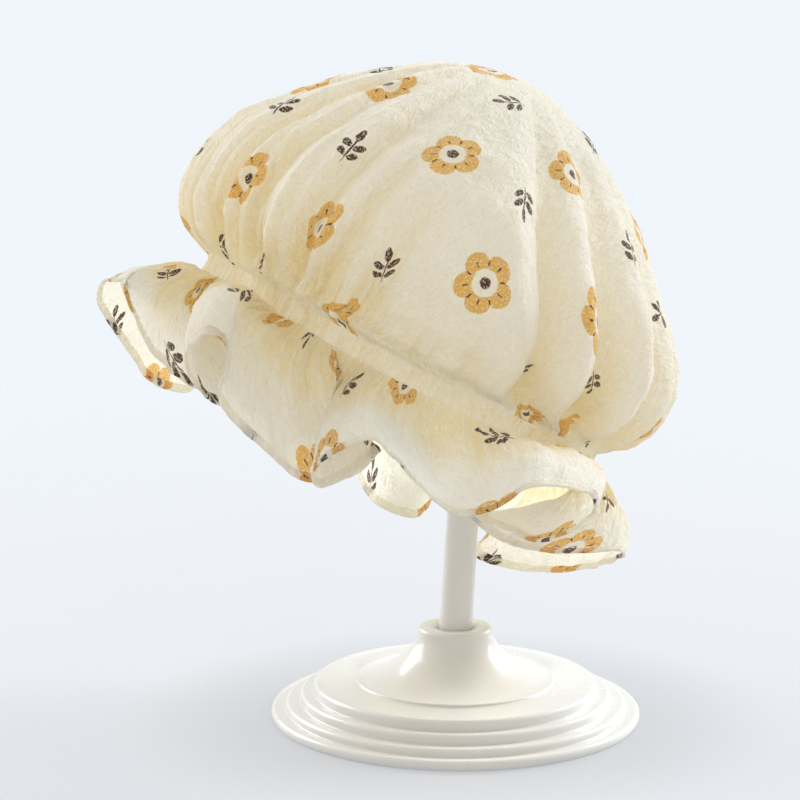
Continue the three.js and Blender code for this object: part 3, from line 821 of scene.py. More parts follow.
def ruffle_relief(degrees, along, run):
    """How far the ruffle's gathers and soft flutes dip to the inside."""
    random = np.random.default_rng(seed=23)
    total = np.zeros_like(degrees)
    for number in range(PLEAT_COUNT):
        at = pleat_place(number, random)
        reach = random.uniform(*RUFFLE_PLEAT_REACH)
        depth = random.uniform(*PLEAT_DEPTH) * RUFFLE_PLEAT_DEPTH
        width = random.uniform(*PLEAT_WIDTH)
        lean = random.uniform(-RUFFLE_PLEAT_LEAN, RUFFLE_PLEAT_LEAN)
        total += run_fold(degrees, along, at, depth, width, reach, lean, PLEAT_BEGIN)
    fine = smooth(0.0, RUFFLE_FINE_BEGIN, along) * (1.0 - smooth(*RUFFLE_FINE_FADE, along))
    gathers = total * gather_strength(degrees) + RUFFLE_FINE_DEPTH * fine * casing_pucker(degrees)
    sunk = RUFFLE_FLUSH * broad_part(gathers, FLUSH_WAVES) * (1.0 - smooth(*RUFFLE_FLUSH_FADE, along))
    near_hem = smooth(FLUTTER_BEGIN, 1.0, along)
    flutter = FLUTTER * near_hem * soft_noise(run / FLUTTER_ALONG, along * FLUTTER_DOWN, seed=21)
    return soften(gathers - sunk) + flutter


def cloth_crumple(x, y, seed):
    """The gauze's own crumple: soft dimples with a few sharper puckers, in millimetres."""
    total = 0.0
    for number, (width, start_x, start_y, share, sharp) in enumerate(CRUMPLE):
        height = soft_noise(x / width + start_x, y / width + start_y, seed + number)
        if sharp:
            height = 1.0 - np.abs(height) * 2.0
        total = total + share * height
    return total


# Making meshes

def make_piece(name, points, faces, material, flat=None, shade=None):
    """A smooth mesh piece from points in millimetres, with its places on the flat cloth and its painted
    shade.
    """
    mesh = bpy.data.meshes.new(name)
    mesh.from_pydata((points * MM).tolist(), [], faces)
    mesh.polygons.foreach_set("use_smooth", [True] * len(mesh.polygons))
    if flat is not None:
        corners = np.empty(len(mesh.loops), int)
        mesh.loops.foreach_get("vertex_index", corners)
        layer = mesh.uv_layers.new(name="cloth")
        layer.data.foreach_set("uv", (flat * MM)[corners].astype(np.float32).ravel())
    if shade is not None:
        # Painted shade for the cloth's colour, read by the material
        layer = mesh.attributes.new("painted_shade", "FLOAT", "POINT")
        layer.data.foreach_set("value", shade.astype(np.float32).ravel())
    mesh.materials.append(material)
    mesh.update()
    piece = bpy.data.objects.new(name, mesh)
    bpy.context.scene.collection.objects.link(piece)
    return piece


def grid_faces(columns, rows):
    """Quads between the columns of a grid that is closed round."""
    column_at, row_at = np.meshgrid(np.arange(columns), np.arange(rows - 1), indexing="ij")
    here = column_at * rows + row_at
    there = (column_at + 1) % columns * rows + row_at
    return np.stack([here, there, there + 1, here + 1], axis=-1).reshape(-1, 4).tolist()


def line_run(line):
    """How far along a closed line each point is, with the line's whole length last."""
    steps = np.linalg.norm(np.roll(line, -1, axis=0) - line, axis=1)
    return np.concatenate([[0.0], np.cumsum(steps)])


def line_point(run, line, place):
    """The point of a line at a distance along it."""
    return np.array([np.interp(place, run, line[:, axis]) for axis in range(3)])


def make_crown(material):
    """The gathered crown, closed by a fan of faces at its top."""
    grid, folded = crown_grid()
    x, y = crown_flat(grid, folded)
    along = np.linspace(0.0, 1.0, CROWN_ROWS + 1)[:-1]
    begun = smooth(0.0, CROWN_CRUMPLE_BEGIN, along)[None, :, None]
    grid = grid + grid_normals(grid) * cloth_crumple(x, y, seed=31)[:, :, None] * begun
    top = grid[:, -1].mean(axis=0) + UP * CROWN_TIP_RISE
    points = np.concatenate([grid.reshape(-1, 3), [top]])
    flat = np.concatenate([np.stack([x, y], axis=-1).reshape(-1, 2), [[0.0, 0.0]]])
    # Painted shade: more close to the casing, and more where the crown folds in
    low = 1.0 - smooth(0.0, CASING_SHADE_REACH, along)
    flat_shade = FLAT_SHADE + CASING_SHADE * low[None, :]
    shade = np.clip(flat_shade + CROWN_SHADE * folded, 0.0, 1.0)
    shade = np.concatenate([shade.ravel(), [FLAT_SHADE]])
    faces = grid_faces(CROWN_COLUMNS, CROWN_ROWS)
    last = len(points) - 1
    for place in range(CROWN_COLUMNS):
        here = place * CROWN_ROWS + CROWN_ROWS - 1
        there = (place + 1) % CROWN_COLUMNS * CROWN_ROWS + CROWN_ROWS - 1
        faces.append([here, there, last])
    return make_piece("crown", points, faces, material, flat, shade)


def turned_hem(grid, inward, run, hem_y):
    """The rows of the hem's turned band after the ruffle's own last row: round the edge and back on the
    inside. Returns each row's points and its places on the flat cloth."""
    edge = grid[:, -1]
    forward = grid[:, -1] - grid[:, -3]
    forward = forward / np.linalg.norm(forward, axis=1, keepdims=True)
    square = inward[:, -1]
    rows, flats = [], []
    for turn in HEM_TURNS:
        angle = math.radians(turn)
        rows.append(edge + HEM_ROUND * (math.sin(angle) * forward + (1.0 - math.cos(angle)) * square))
        flats.append(np.stack([run, hem_y + HEM_ROUND * angle], axis=-1))
    back_rows = int(round(HEM_BAND / RUFFLE_STEP))
    for back in range(1, back_rows + 1):
        lift = 2 * HEM_ROUND if back < back_rows else HEM_EDGE_LIFT
        rows.append(grid[:, -1 - back] + inward[:, -1 - back] * lift)
        flats.append(np.stack([run, hem_y + back * RUFFLE_STEP + HEM_FLAT_TURN], axis=-1))
    return rows, flats


def make_ruffle(material):
    """The ruffle with its hem turned to the inside. Returns the piece and the line where the hem is sewn."""
    grid, degrees, along = ruffle_grid()
    run = line_run(grid[:, -1])[:-1]
    x = np.repeat(run[:, None], RUFFLE_ROWS + 1, axis=1)
    lengths = np.linalg.norm(grid[:, -1] - grid[:, 0], axis=1)
    y = along * (RUFFLE_EVEN * RUFFLE_WIDTH + (1.0 - RUFFLE_EVEN) * lengths)[:, None]
    dips = ruffle_relief(degrees, along, x)
    past_seam = (1.0 - along) * RUFFLE_WIDTH - HEM_BAND + HEM_SEAM_INSET
    sewn = np.exp(-(past_seam / HEM_SEAM_WIDTH) ** 2)
    crumple = cloth_crumple(x, y, seed=41) * smooth(0.0, RUFFLE_CRUMPLE_BEGIN, along)
    grid = grid + grid_normals(grid) * (dips + HEM_PINCH * sewn - crumple)[:, :, None]
    pinched, joined = seam_pucker(degrees, along, RUFFLE_SEAM, RUFFLE_PINCH_REACH)
    grid = grid - ring_outward(degrees) * pinched[:, :, None]
    inward = grid_normals(grid)
    # Painted shade: from the gathers' depth, beside the seam, and more close to the casing
    folded = dips / RUFFLE_GATHER_FULL + SEAM_SHADE * joined * pinched / CASING_PUCKER
    flat_shade = FLAT_SHADE + RUFFLE_SHADE * (1.0 - smooth(*RUFFLE_SHADE_FADE, along))
    shade = np.clip(flat_shade + folded, 0.0, 1.0)
    rows, flats = turned_hem(grid, inward, run, y[:, -1])
    whole = np.concatenate([grid, np.stack(rows, axis=1)], axis=1)
    flat = np.concatenate([np.stack([x, y], axis=-1), np.stack(flats, axis=1)], axis=1)
    flat = flat.reshape(-1, 2) + [RUFFLE_FLAT_START, 0.0]
    # The hem's turned rows get no painted shade, so they stay at the lighter ridge colour
    shade = np.concatenate([shade, np.zeros((len(run), len(rows)))], axis=1).ravel()
    faces = grid_faces(RUFFLE_COLUMNS, whole.shape[1])
    piece = make_piece("ruffle", whole.reshape(-1, 3), faces, material, flat, shade)
    seam_row = RUFFLE_ROWS - int(round((HEM_BAND - HEM_SEAM_INSET) / RUFFLE_STEP))
    return piece, grid[:, seam_row], inward[:, seam_row]


def make_casing(material):
    """The gathered band that holds the elastic, with the lines of its two stitch rows."""
    ups = np.linspace(CASING_HALF, -CASING_HALF, CASING_ROWS)
    degrees, up = np.meshgrid(cap_columns(), ups, indexing="ij")
    inside = 1.0 - (up / CASING_HALF) ** 2
    slip = CASING_SLIP * ring_noise(degrees, waves=(15, 26, 37), seed=17) * inside
    pucker = casing_pucker(degrees + slip)
    full = -CASING_WAIST * inside - STITCH_PINCH * (1.0 - smooth(0.0, CASING_PINCH_REACH, inside))
    dimples = soft_noise(degrees / CASING_CRUMPLE_ROUND, up / CASING_CRUMPLE_UP, seed=51)
    crumple = CASING_CRUMPLE * dimples * inside
    band = ring_point(degrees, RING_RADIUS - pucker + full + crumple, up)
    run = line_run(band[:, 0])[:-1]
    x = np.repeat(run[:, None] * CASING_FULLNESS, CASING_ROWS, axis=1)
    flat = np.stack([x, CASING_HALF - up + CASING_FLAT_START], axis=-1).reshape(-1, 2)
    # Painted shade of the casing: a flat share, more close to the casing, and more in each pucker's valley
    shade = FLAT_SHADE + CASING_SHADE + PUCKER_SHADE * pucker / CASING_PUCKER
    shade = np.clip(shade, 0.0, 1.0).ravel()
    faces = grid_faces(CROWN_COLUMNS, CASING_ROWS)
    piece = make_piece("casing", band.reshape(-1, 3), faces, material, flat, shade)
    outward = ring_outward(degrees[:, 0])
    return piece, [(band[:, 0], outward), (band[:, -1], outward)]


def stitch_points(start, middle, end, out):
    """One stitch's points: its two tips, and a ring of points at each place between them."""
    forward = end - start
    forward = forward / np.linalg.norm(forward)
    side = np.cross(out, forward)
    points = []
    for place, thick in STITCH_SHAPE:
        sunk = STITCH_DIP * STITCH_RADIUS * (abs(place) * 2) ** 2
        centre = start * max(0.0, -2 * place) + end * max(0.0, 2 * place)
        centre = centre + middle * (1.0 - abs(2 * place)) + out * (STITCH_LIFT - sunk)
        if thick == 0.0:
            points.append(centre)
            continue
        for turn in range(STITCH_SIDES):
            angle = 2 * math.pi * turn / STITCH_SIDES
            spoke = math.cos(angle) * side + math.sin(angle) * out
            points.append(centre + STITCH_RADIUS * thick * spoke)
    return points


def stitch_faces(first):
    """One stitch's faces, where the first is the number of its first tip's point."""
    rings = len(STITCH_SHAPE) - 2
    last_ring = first + 1 + (rings - 1) * STITCH_SIDES
    faces = []
    for here in range(STITCH_SIDES):
        there = (here + 1) % STITCH_SIDES
        faces.append([first, first + 1 + there, first + 1 + here])
        for low in range(first + 1, last_ring, STITCH_SIDES):
            high = low + STITCH_SIDES
            faces.append([low + here, low + there, high + there, high + here])
        faces.append([last_ring + here, last_ring + there, last_ring + STITCH_SIDES])
    return faces


def make_stitches(name, lines, pitch, material):
    """Short thread stitches along closed lines: each is a small spindle that follows the cloth."""
    points, faces = [], []
    half = pitch * STITCH_SHARE / 2
    for line, square in lines:
        run = line_run(line)
        closed_line = np.concatenate([line, line[:1]])
        closed_square = np.concatenate([square, square[:1]])
        count = int(run[-1] / pitch)
        for number in range(count):
            middle = (number + 0.5) * run[-1] / count
            out = line_point(run, closed_square, middle)
            out = out / np.linalg.norm(out)
            start, centre, end = (
                line_point(run, closed_line, place) for place in (middle - half, middle, middle + half)
            )
            faces += stitch_faces(len(points))
            points += stitch_points(start, centre, end, out)
    return make_piece(name, np.array(points), faces, material)


# Stand pieces

def turned(outline):
    """Points and faces of a lathe shape about +Z, closed by a fan at each end of its outline."""
    outline = np.array(outline, float)
    angle = np.arange(BASE_SEGMENTS) * 2 * math.pi / BASE_SEGMENTS
    radius, height = outline[:, 0], outline[:, 1]
    x = np.multiply.outer(np.cos(angle), radius)
    y = np.multiply.outer(np.sin(angle), radius)
    z = np.broadcast_to(height, x.shape)
    points = np.stack([x, y, z], axis=-1).reshape(-1, 3)
    rows = len(outline)
    faces = grid_faces(BASE_SEGMENTS, rows)
    low, high = len(points), len(points) + 1
    points = np.concatenate([points, [[0.0, 0.0, height[0]]], [[0.0, 0.0, height[-1]]]])
    for place in range(BASE_SEGMENTS):
        here, there = place * rows, (place + 1) % BASE_SEGMENTS * rows
        faces.append([low, there, here])
        faces.append([high, here + rows - 1, there + rows - 1])
    return points, faces


def make_leaning(name, outline, material):
    """A lathe piece about the pole's leaning axis."""
    points, faces = turned(outline)
    c, s = math.cos(POLE_LEAN), math.sin(POLE_LEAN)
    x, y, z = points.T
    points = np.stack([c * x + s * z + POLE_FOOT_X, y, c * z - s * x], axis=-1)
    return make_piece(name, points, faces, material)


def rounded(radius, height, size):
    """Points of a round edge whose outer corner is at that radius and height."""
    turns = np.radians(np.linspace(0.0, 90.0, ROUND_STEPS))
    return [(radius - size + size * math.cos(t), height - size + size * math.sin(t)) for t in turns]


def eased(radius, height, beside):
    """Points beside the corner at that radius and height."""
    return [(radius + out, height + up) for out, up in beside]


def hub_flare():
    """The hollow curve from the disc up to the hub's neck."""
    outline = []
    for turn in np.radians(np.linspace(0.0, 90.0, HUB_STEPS)):
        inward = math.sin(turn) ** HUB_FLARE_POWER
        below = max(math.cos(turn), 0.0) ** HUB_FLARE_POWER
        radius = HUB_FLARE_RADIUS - (HUB_FLARE_RADIUS - HUB_NECK_RADIUS) * inward
        outline.append((radius, HUB_NECK_HEIGHT - (HUB_NECK_HEIGHT - DISC_TOP) * below))
    return outline


def base_outline():
    """The base's outline from its foot over the steps, the disc and the hub to the socket's mouth."""
    outline = eased(BASE_STEPS[0][0], 0.0, FOOT_EDGE)
    for number, (radius, top) in enumerate(BASE_STEPS):
        outline += rounded(radius, top, LIP_ROUND)
        if number + 1 < len(BASE_STEPS):
            outline += eased(BASE_STEPS[number + 1][0], top - STEP_SLOPE, STEP_GROOVE)
    outline += eased(DISC_RADIUS, BASE_STEPS[-1][1], DISC_GROOVE)
    outline += rounded(DISC_RADIUS, DISC_TOP, DISC_ROUND)
    outline += hub_flare()
    outline += rounded(HUB_NECK_RADIUS, HUB_TOP, HUB_ROUND)
    return outline + eased(SOCKET_RADIUS, HUB_TOP, SOCKET_EDGE)


def make_base(material):
    """The base, whose socket follows the pole's leaning axis in place of the lathe shape's upper fan."""
    outline = base_outline()
    points, faces = turned(outline)
    fan_tip = len(points) - 1
    points = points[:-1].tolist()
    faces = [face for face in faces if fan_tip not in face]
    rows = len(outline)
    previous = [place * rows + rows - 1 for place in range(BASE_SEGMENTS)]
    for height in (HUB_TOP - SOCKET_CHAMFER, SOCKET_FLOOR):
        middle = POLE_FOOT_X + height * math.tan(POLE_LEAN)
        ring = []
        for place in range(BASE_SEGMENTS):
            angle = 2 * math.pi * place / BASE_SEGMENTS
            ring.append(len(points))
            points.append([middle + SOCKET_RADIUS * math.cos(angle), SOCKET_RADIUS * math.sin(angle), height])
        for place in range(BASE_SEGMENTS):
            there = (place + 1) % BASE_SEGMENTS
            faces.append([previous[place], previous[there], ring[there], ring[place]])
        previous = ring
    points.append([middle, 0.0, SOCKET_FLOOR])
    for place in range(BASE_SEGMENTS):
        faces.append([previous[place], previous[(place + 1) % BASE_SEGMENTS], len(points) - 1])
    return make_piece("base", np.array(points), faces, material)


def make_pole(material):
    """The slightly tapered pole, with a small chamfer at each end."""
    outline = eased(POLE_FOOT_RADIUS, POLE_BOTTOM, [(-POLE_CHAMFER, 0.0), (0.0, POLE_CHAMFER)])
    for share in np.linspace(0.0, 1.0, POLE_STEPS)[1:]:
        radius = POLE_FOOT_RADIUS + (POLE_TOP_RADIUS - POLE_FOOT_RADIUS) * share
        outline.append((radius, POLE_BOTTOM + (POLE_TOP - POLE_CHAMFER - POLE_BOTTOM) * share))
    outline.append((POLE_TOP_RADIUS - POLE_CHAMFER, POLE_TOP))
    return make_leaning("pole", outline, material)


def make_dome(material):
    """The hollow dome under the cap, with the boss that takes the pole's top."""
    inner = DOME_RADIUS - DOME_WALL
    hole = POLE_TOP_RADIUS + POLE_GAP
    outline = [
        (AXIS_RADIUS, DOME_CENTRE + BOSS_HOLE_TOP),
        (hole, DOME_CENTRE + BOSS_HOLE_TOP),
        (hole, DOME_CENTRE + BOSS_BOTTOM),
        (BOSS_RADIUS, DOME_CENTRE + BOSS_BOTTOM),
    ]
    inner_turns = np.linspace(math.asin(BOSS_RADIUS / inner), math.acos(DOME_RIM / inner), DOME_INNER_STEPS)
    outer_turns = np.linspace(math.acos(DOME_RIM / DOME_RADIUS), AXIS_TURN, DOME_OUTER_STEPS)
    for radius, turns in ((inner, inner_turns), (DOME_RADIUS, outer_turns)):
        outline += [(radius * math.sin(turn), DOME_CENTRE + radius * math.cos(turn)) for turn in turns]
    return make_leaning("dome", outline, material)


# Material nodes

def plug(tree, socket, value):
    """Links a socket to another one's value, or sets it to a plain value."""
    if isinstance(value, bpy.types.NodeSocket):
        tree.links.new(value, socket)
    else:
        socket.default_value = value


def calc(tree, operation, *values):
    """The result of a Math node."""
    node = tree.nodes.new("ShaderNodeMath")
    node.operation = operation
    for socket, value in zip(node.inputs, values):
        plug(tree, socket, value)
    return node.outputs[0]


def vector_calc(tree, operation, *values, output=0):
    """The result of a Vector Math node."""
    node = tree.nodes.new("ShaderNodeVectorMath")
    node.operation = operation
    for socket, value in zip(node.inputs, values):
        plug(tree, socket, value)
    return node.outputs[output]


def scaled(tree, vector, factor):
    """A vector or colour times one factor."""
    node = tree.nodes.new("ShaderNodeVectorMath")
    node.operation = "SCALE"
    plug(tree, node.inputs[0], vector)
    plug(tree, node.inputs["Scale"], factor)
    return node.outputs[0]


def distance(tree, x, y):
    """How far the point at x and y is from the middle."""
    squares = calc(tree, "ADD", calc(tree, "POWER", x, 2.0), calc(tree, "POWER", y, 2.0))
    return calc(tree, "SQRT", squares)


def noise(tree, vector, scale, detail=2.0, output="Fac"):
    """The result of a Noise Texture node."""
    node = tree.nodes.new("ShaderNodeTexNoise")
    plug(tree, node.inputs["Vector"], vector)
    node.inputs["Scale"].default_value = scale
    node.inputs["Detail"].default_value = detail
    return node.outputs[output]


def remap(tree, value, low, high, to_low=0.0, to_high=1.0):
    """The value between low and high, eased on to the new range and held at its ends."""
    node = tree.nodes.new("ShaderNodeMapRange")
    node.interpolation_type = "SMOOTHSTEP"
    plug(tree, node.inputs["Value"], value)
    node.inputs["From Min"].default_value = low
    node.inputs["From Max"].default_value = high
    node.inputs["To Min"].default_value = to_low
    node.inputs["To Max"].default_value = to_high
    return node.outputs["Result"]


def blend_colours(tree, factor, first, second):
    """The first colour where the factor is 0, the second where it is 1."""
    node = tree.nodes.new("ShaderNodeMix")
    node.data_type = "RGBA"
    plug(tree, node.inputs["Factor"], factor)
    plug(tree, node.inputs["A"], first)
    plug(tree, node.inputs["B"], second)
    return node.outputs["Result"]


def new_group(name, inputs, outputs):
    """An empty shader node group, with the socket types of its inputs and outputs by their names."""
    tree = bpy.data.node_groups.new(name, "ShaderNodeTree")
    for in_out, sockets in (("INPUT", inputs), ("OUTPUT", outputs)):
        for label, kind in sockets.items():
            tree.interface.new_socket(label, in_out=in_out, socket_type=kind)
    enter = tree.nodes.new("NodeGroupInput")
    leave = tree.nodes.new("NodeGroupOutput")
    return tree, enter.outputs, leave.inputs


def place_group(tree, group, **values):
    """A group placed in a material, with its own values by the names of the group's inputs."""
    node = tree.nodes.new("ShaderNodeGroup")
    node.node_tree = group
    for label, value in values.items():
        plug(tree, node.inputs[label.title()], value)
    return node.outputs


def thread_noise(tree, flat, spots):
    """Noise over the cloth as measured in threads, with so many spots to a thread across and up."""
    return noise(tree, vector_calc(tree, "MULTIPLY", flat, (*spots, 1.0)), 1.0)


def gauze_weave_group():
    """Loose woven threads: a speck where a thread comes up, which the cloth lightens as a painted glint, and
    the height of the weave.
    """
    inputs = {"Flat": "NodeSocketVector", "Threads": "NodeSocketFloat"}
    outputs = {"Speck": "NodeSocketFloat", "Height": "NodeSocketFloat"}
    tree, enter, leave = new_group("gauze weave", inputs, outputs)
    flat = scaled(tree, enter["Flat"], enter["Threads"])
    kinds = (WARP_SPOTS, WEFT_SPOTS, SLUB_SPOTS, BLISTER_SPOTS, CREPE_SPOTS)
    warp, weft, slubs, blisters, crepe = (thread_noise(tree, flat, spots) for spots in kinds)
    threads = calc(tree, "MAXIMUM", remap(tree, warp, *THREAD_SEEN), remap(tree, weft, *THREAD_SEEN))
    plug(tree, leave["Speck"], calc(tree, "MULTIPLY", threads, remap(tree, slubs, *SLUB_SEEN)))
    height = calc(tree, "MULTIPLY_ADD", threads, THREAD_HEIGHT, calc(tree, "MULTIPLY", slubs, SLUB_HEIGHT))
    height = calc(tree, "MULTIPLY_ADD", crepe, CREPE_HEIGHT, height)
    plug(tree, leave["Height"], calc(tree, "MULTIPLY_ADD", blisters, BLISTER_HEIGHT, height))
    return tree


def ellipse(tree, x, y, centre, size, degrees):
    """1 inside a turned ellipse, 0 outside, for a point given as x and y."""
    c, s = math.cos(math.radians(degrees)), math.sin(math.radians(degrees))
    x = calc(tree, "SUBTRACT", x, centre[0])
    y = calc(tree, "SUBTRACT", y, centre[1])
    along = calc(tree, "ADD", calc(tree, "MULTIPLY", x, c / size[0]), calc(tree, "MULTIPLY", y, s / size[0]))
    from_x = calc(tree, "MULTIPLY", x, s / size[1])
    from_y = calc(tree, "MULTIPLY", y, c / size[1])
    beside = calc(tree, "SUBTRACT", from_y, from_x)
    return remap(tree, distance(tree, along, beside), *LEAF_EDGE)


def strongest(tree, *masks):
    """The largest of the masks at each point."""
    result = masks[0]
    for mask in masks[1:]:
        result = calc(tree, "MAXIMUM", result, mask)
    return result


def motif_place(tree, flat):
    """Where a point lies in its own motif, as x and y in shares of the gap between two motifs, and whether
    that motif is a blossom. Blossoms and sprigs take turns, and each is turned its own way."""
    cells = tree.nodes.new("ShaderNodeTexVoronoi")
    cells.voronoi_dimensions = "2D"
    cells.inputs["Scale"].default_value = 1.0
    cells.inputs["Randomness"].default_value = PRINT_STRAY
    plug(tree, cells.inputs["Vector"], flat)
    index = vector_calc(tree, "FLOOR", cells.outputs["Position"])
    total = vector_calc(tree, "DOT_PRODUCT", index, (1.0, 1.0, 0.0), output="Value")
    is_blossom = calc(tree, "LESS_THAN", calc(tree, "FLOORED_MODULO", total, 2.0), 0.5)
    chance = tree.nodes.new("ShaderNodeSeparateColor")
    plug(tree, chance.inputs[0], cells.outputs["Color"])
    turned_place = tree.nodes.new("ShaderNodeVectorRotate")
    turned_place.rotation_type = "Z_AXIS"
    offset = vector_calc(tree, "SUBTRACT", flat, cells.outputs["Position"])
    plug(tree, turned_place.inputs["Vector"], offset)
    plug(tree, turned_place.inputs["Angle"], calc(tree, "MULTIPLY", chance.outputs[0], 2 * math.pi))
    split = tree.nodes.new("ShaderNodeSeparateXYZ")
    plug(tree, split.inputs[0], turned_place.outputs[0])
    return split.outputs[0], split.outputs[1], is_blossom


def blossom_masks(tree, x, y):
    """A blossom's ochre petals, its brown eye and short rays, and its cream heart."""
    radius = distance(tree, x, y)
    angle = calc(tree, "ARCTAN2", y, x)
    petals = calc(tree, "COSINE", calc(tree, "MULTIPLY", angle, BLOSSOM_PETALS / 2))
    lobes = calc(tree, "POWER", calc(tree, "ABSOLUTE", petals), PETAL_BEND)
    rim = calc(tree, "MULTIPLY_ADD", lobes, PETAL_DEPTH, PETAL_NOTCH)
    petal = remap(tree, calc(tree, "SUBTRACT", radius, rim), PETAL_EDGE, -PETAL_EDGE)
    heart = remap(tree, radius, *HEART_EDGE)
    rays = calc(tree, "COSINE", calc(tree, "MULTIPLY", angle, float(BLOSSOM_RAYS)))
    ray_band = calc(tree, "MULTIPLY", remap(tree, radius, *RAY_START), remap(tree, radius, *RAY_END))
    ray = calc(tree, "MULTIPLY", ray_band, remap(tree, rays, *RAY_EDGE))
    ochre = calc(tree, "MULTIPLY", petal, calc(tree, "SUBTRACT", 1.0, heart))
    brown = strongest(tree, remap(tree, radius, *EYE_EDGE), calc(tree, "MULTIPLY", ray, petal))
    return ochre, brown, heart


def sprig_mask(tree, x, y):
    """A stem with two pairs of leaves and one at the tip."""
    mirrored = calc(tree, "ABSOLUTE", x)
    pairs = [ellipse(tree, mirrored, y, *leaf) for leaf in LEAF_PAIRS]
    return strongest(tree, *pairs, *(ellipse(tree, x, y, *part) for part in TIP_AND_STEM))


def cap_print_group():
    """The scattered print: ochre blossoms and small dark sprigs, with ink that the threads break up."""
    inputs = {"Flat": "NodeSocketVector", "Spacing": "NodeSocketFloat"}
    outputs = {"Ochre": "NodeSocketFloat", "Brown": "NodeSocketFloat", "Clear": "NodeSocketFloat"}
    tree, enter, leave = new_group("scattered print", inputs, outputs)
    threads = noise(tree, enter["Flat"], FRAY_SCALE, detail=1.0, output="Color")
    frayed = vector_calc(tree, "MULTIPLY_ADD", threads, FRAY, enter["Flat"])
    flat = scaled(tree, frayed, calc(tree, "DIVIDE", 1.0, enter["Spacing"]))
    x, y, is_blossom = motif_place(tree, flat)
    petals, eye_and_rays, heart = blossom_masks(tree, x, y)
    sprig = calc(tree, "MULTIPLY", sprig_mask(tree, x, y), calc(tree, "SUBTRACT", 1.0, is_blossom))
    inked = remap(tree, noise(tree, enter["Flat"], INK_SCALE, detail=0.0), *INK_SEEN, INK_LEAST, 1.0)
    brown = strongest(tree, calc(tree, "MULTIPLY", eye_and_rays, is_blossom), sprig)
    plug(tree, leave["Ochre"], calc(tree, "MULTIPLY", calc(tree, "MULTIPLY", petals, is_blossom), inked))
    plug(tree, leave["Brown"], calc(tree, "MULTIPLY", brown, inked))
    plug(tree, leave["Clear"], calc(tree, "MULTIPLY", heart, is_blossom))
    return tree


def new_material(name):
    """An empty material with one Principled shader plugged into its output."""
    material = bpy.data.materials.new(name)
    material.use_nodes = True
    tree = material.node_tree
    tree.nodes.clear()
    shader = tree.nodes.new("ShaderNodeBsdfPrincipled")
    output = tree.nodes.new("ShaderNodeOutputMaterial")
    tree.links.new(shader.outputs[0], output.inputs["Surface"])
    return material, tree, shader, output


def mix_shaders(tree, factor, first, second, output):
    """Puts two shaders on the material's output, mixed by a factor."""
    mix = tree.nodes.new("ShaderNodeMixShader")
    plug(tree, mix.inputs[0], factor)
    tree.links.new(first.outputs[0], mix.inputs[1])
    tree.links.new(second.outputs[0], mix.inputs[2])
    tree.links.new(mix.outputs[0], output.inputs["Surface"])


def print_over(tree, colour, printed, inks):
    """A colour with the print's inks laid over it, each where its mask says."""
    for mask, ink in inks:
        colour = blend_colours(tree, printed[mask], colour, ink)
    return colour


def gauze_material(name, weave, print_group=None):
    """Cream double gauze: whiter on the ridges, with painted shade that is warmer and darker in the folds, a
    painted glint where a thread comes up, and lit through from behind.
    """
    material, tree, shader, output = new_material(name)
    flat = tree.nodes.new("ShaderNodeUVMap")
    flat.uv_map = "cloth"
    # The painted shade that the mesh carries
    painted_shade = tree.nodes.new("ShaderNodeAttribute")
    painted_shade.attribute_name = "painted_shade"
    woven = place_group(tree, weave, flat=flat.outputs[0], threads=THREADS_PER_METRE)
    # Random patches of tone added to the painted shade, less where a thread comes up
    patches = noise(tree, flat.outputs[0], PATCH_SCALE, detail=3.0)
    folded = calc(tree, "SUBTRACT", painted_shade.outputs["Fac"], PATCH_SHARE / 2)
    shade_and_tone = calc(tree, "MULTIPLY_ADD", patches, PATCH_SHARE, folded)
    shade_and_tone = calc(tree, "SUBTRACT", shade_and_tone, calc(tree, "MULTIPLY", woven["Speck"], SPECK_LESS_SHADE))
    shade_and_tone_mix = remap(tree, shade_and_tone, *SHADE_AND_TONE_RANGE)
    # From the ridge colour to the painted valley shade
    cloth = blend_colours(tree, shade_and_tone_mix, RIDGE_COLOUR, VALLEY_PAINTED_SHADE)
    # Where a thread comes up: the weave's own pattern, lightened as a painted glint
    cloth = blend_colours(tree, calc(tree, "MULTIPLY", woven["Speck"], SPECK_GLINT), cloth, SPECK_GLINT_COLOUR)
    # The light through the cloth is yellower where the painted shade is deeper
    glow = blend_colours(tree, shade_and_tone_mix, RIDGE_GLOW, VALLEY_GLOW)
    if print_group:
        printed = place_group(tree, print_group, flat=flat.outputs[0], spacing=PRINT_SPACING)
        cloth = print_over(tree, cloth, printed, CLOTH_INKS)
        glow = print_over(tree, glow, printed, GLOW_INKS)
    bump = tree.nodes.new("ShaderNodeBump")
    bump.inputs["Strength"].default_value = CLOTH_BUMP
    bump.inputs["Distance"].default_value = CLOTH_BUMP_HEIGHT
    plug(tree, bump.inputs["Height"], woven["Height"])
    plug(tree, shader.inputs["Base Color"], cloth)
    plug(tree, shader.inputs["Normal"], bump.outputs[0])
    plug(tree, shader.inputs["Roughness"], remap(tree, woven["Speck"], 0.0, 1.0, *CLOTH_ROUGH))
    shader.inputs["Sheen Weight"].default_value = CLOTH_SHEEN
    shader.inputs["Sheen Roughness"].default_value = CLOTH_SHEEN_ROUGH
    shader.inputs["Specular IOR Level"].default_value = CLOTH_SPECULAR
    through = tree.nodes.new("ShaderNodeBsdfTranslucent")
    plug(tree, through.inputs["Color"], glow)
    plug(tree, through.inputs["Normal"], bump.outputs[0])
    mix_shaders(tree, CLOTH_THROUGH, shader, through, output)
    return material


def thread_material():
    """Cream sewing thread, a little darker between its twists."""
    material, tree, shader, _ = new_material("sewing thread")
    place = tree.nodes.new("ShaderNodeTexCoord").outputs["Object"]
    twist = noise(tree, place, TWIST_SCALE, detail=1.0)
    plug(tree, shader.inputs["Base Color"], blend_colours(tree, twist, *THREAD_COLOURS))
    plug(tree, shader.inputs["Roughness"], remap(tree, twist, *TWIST_SEEN, *THREAD_ROUGH))
    return material


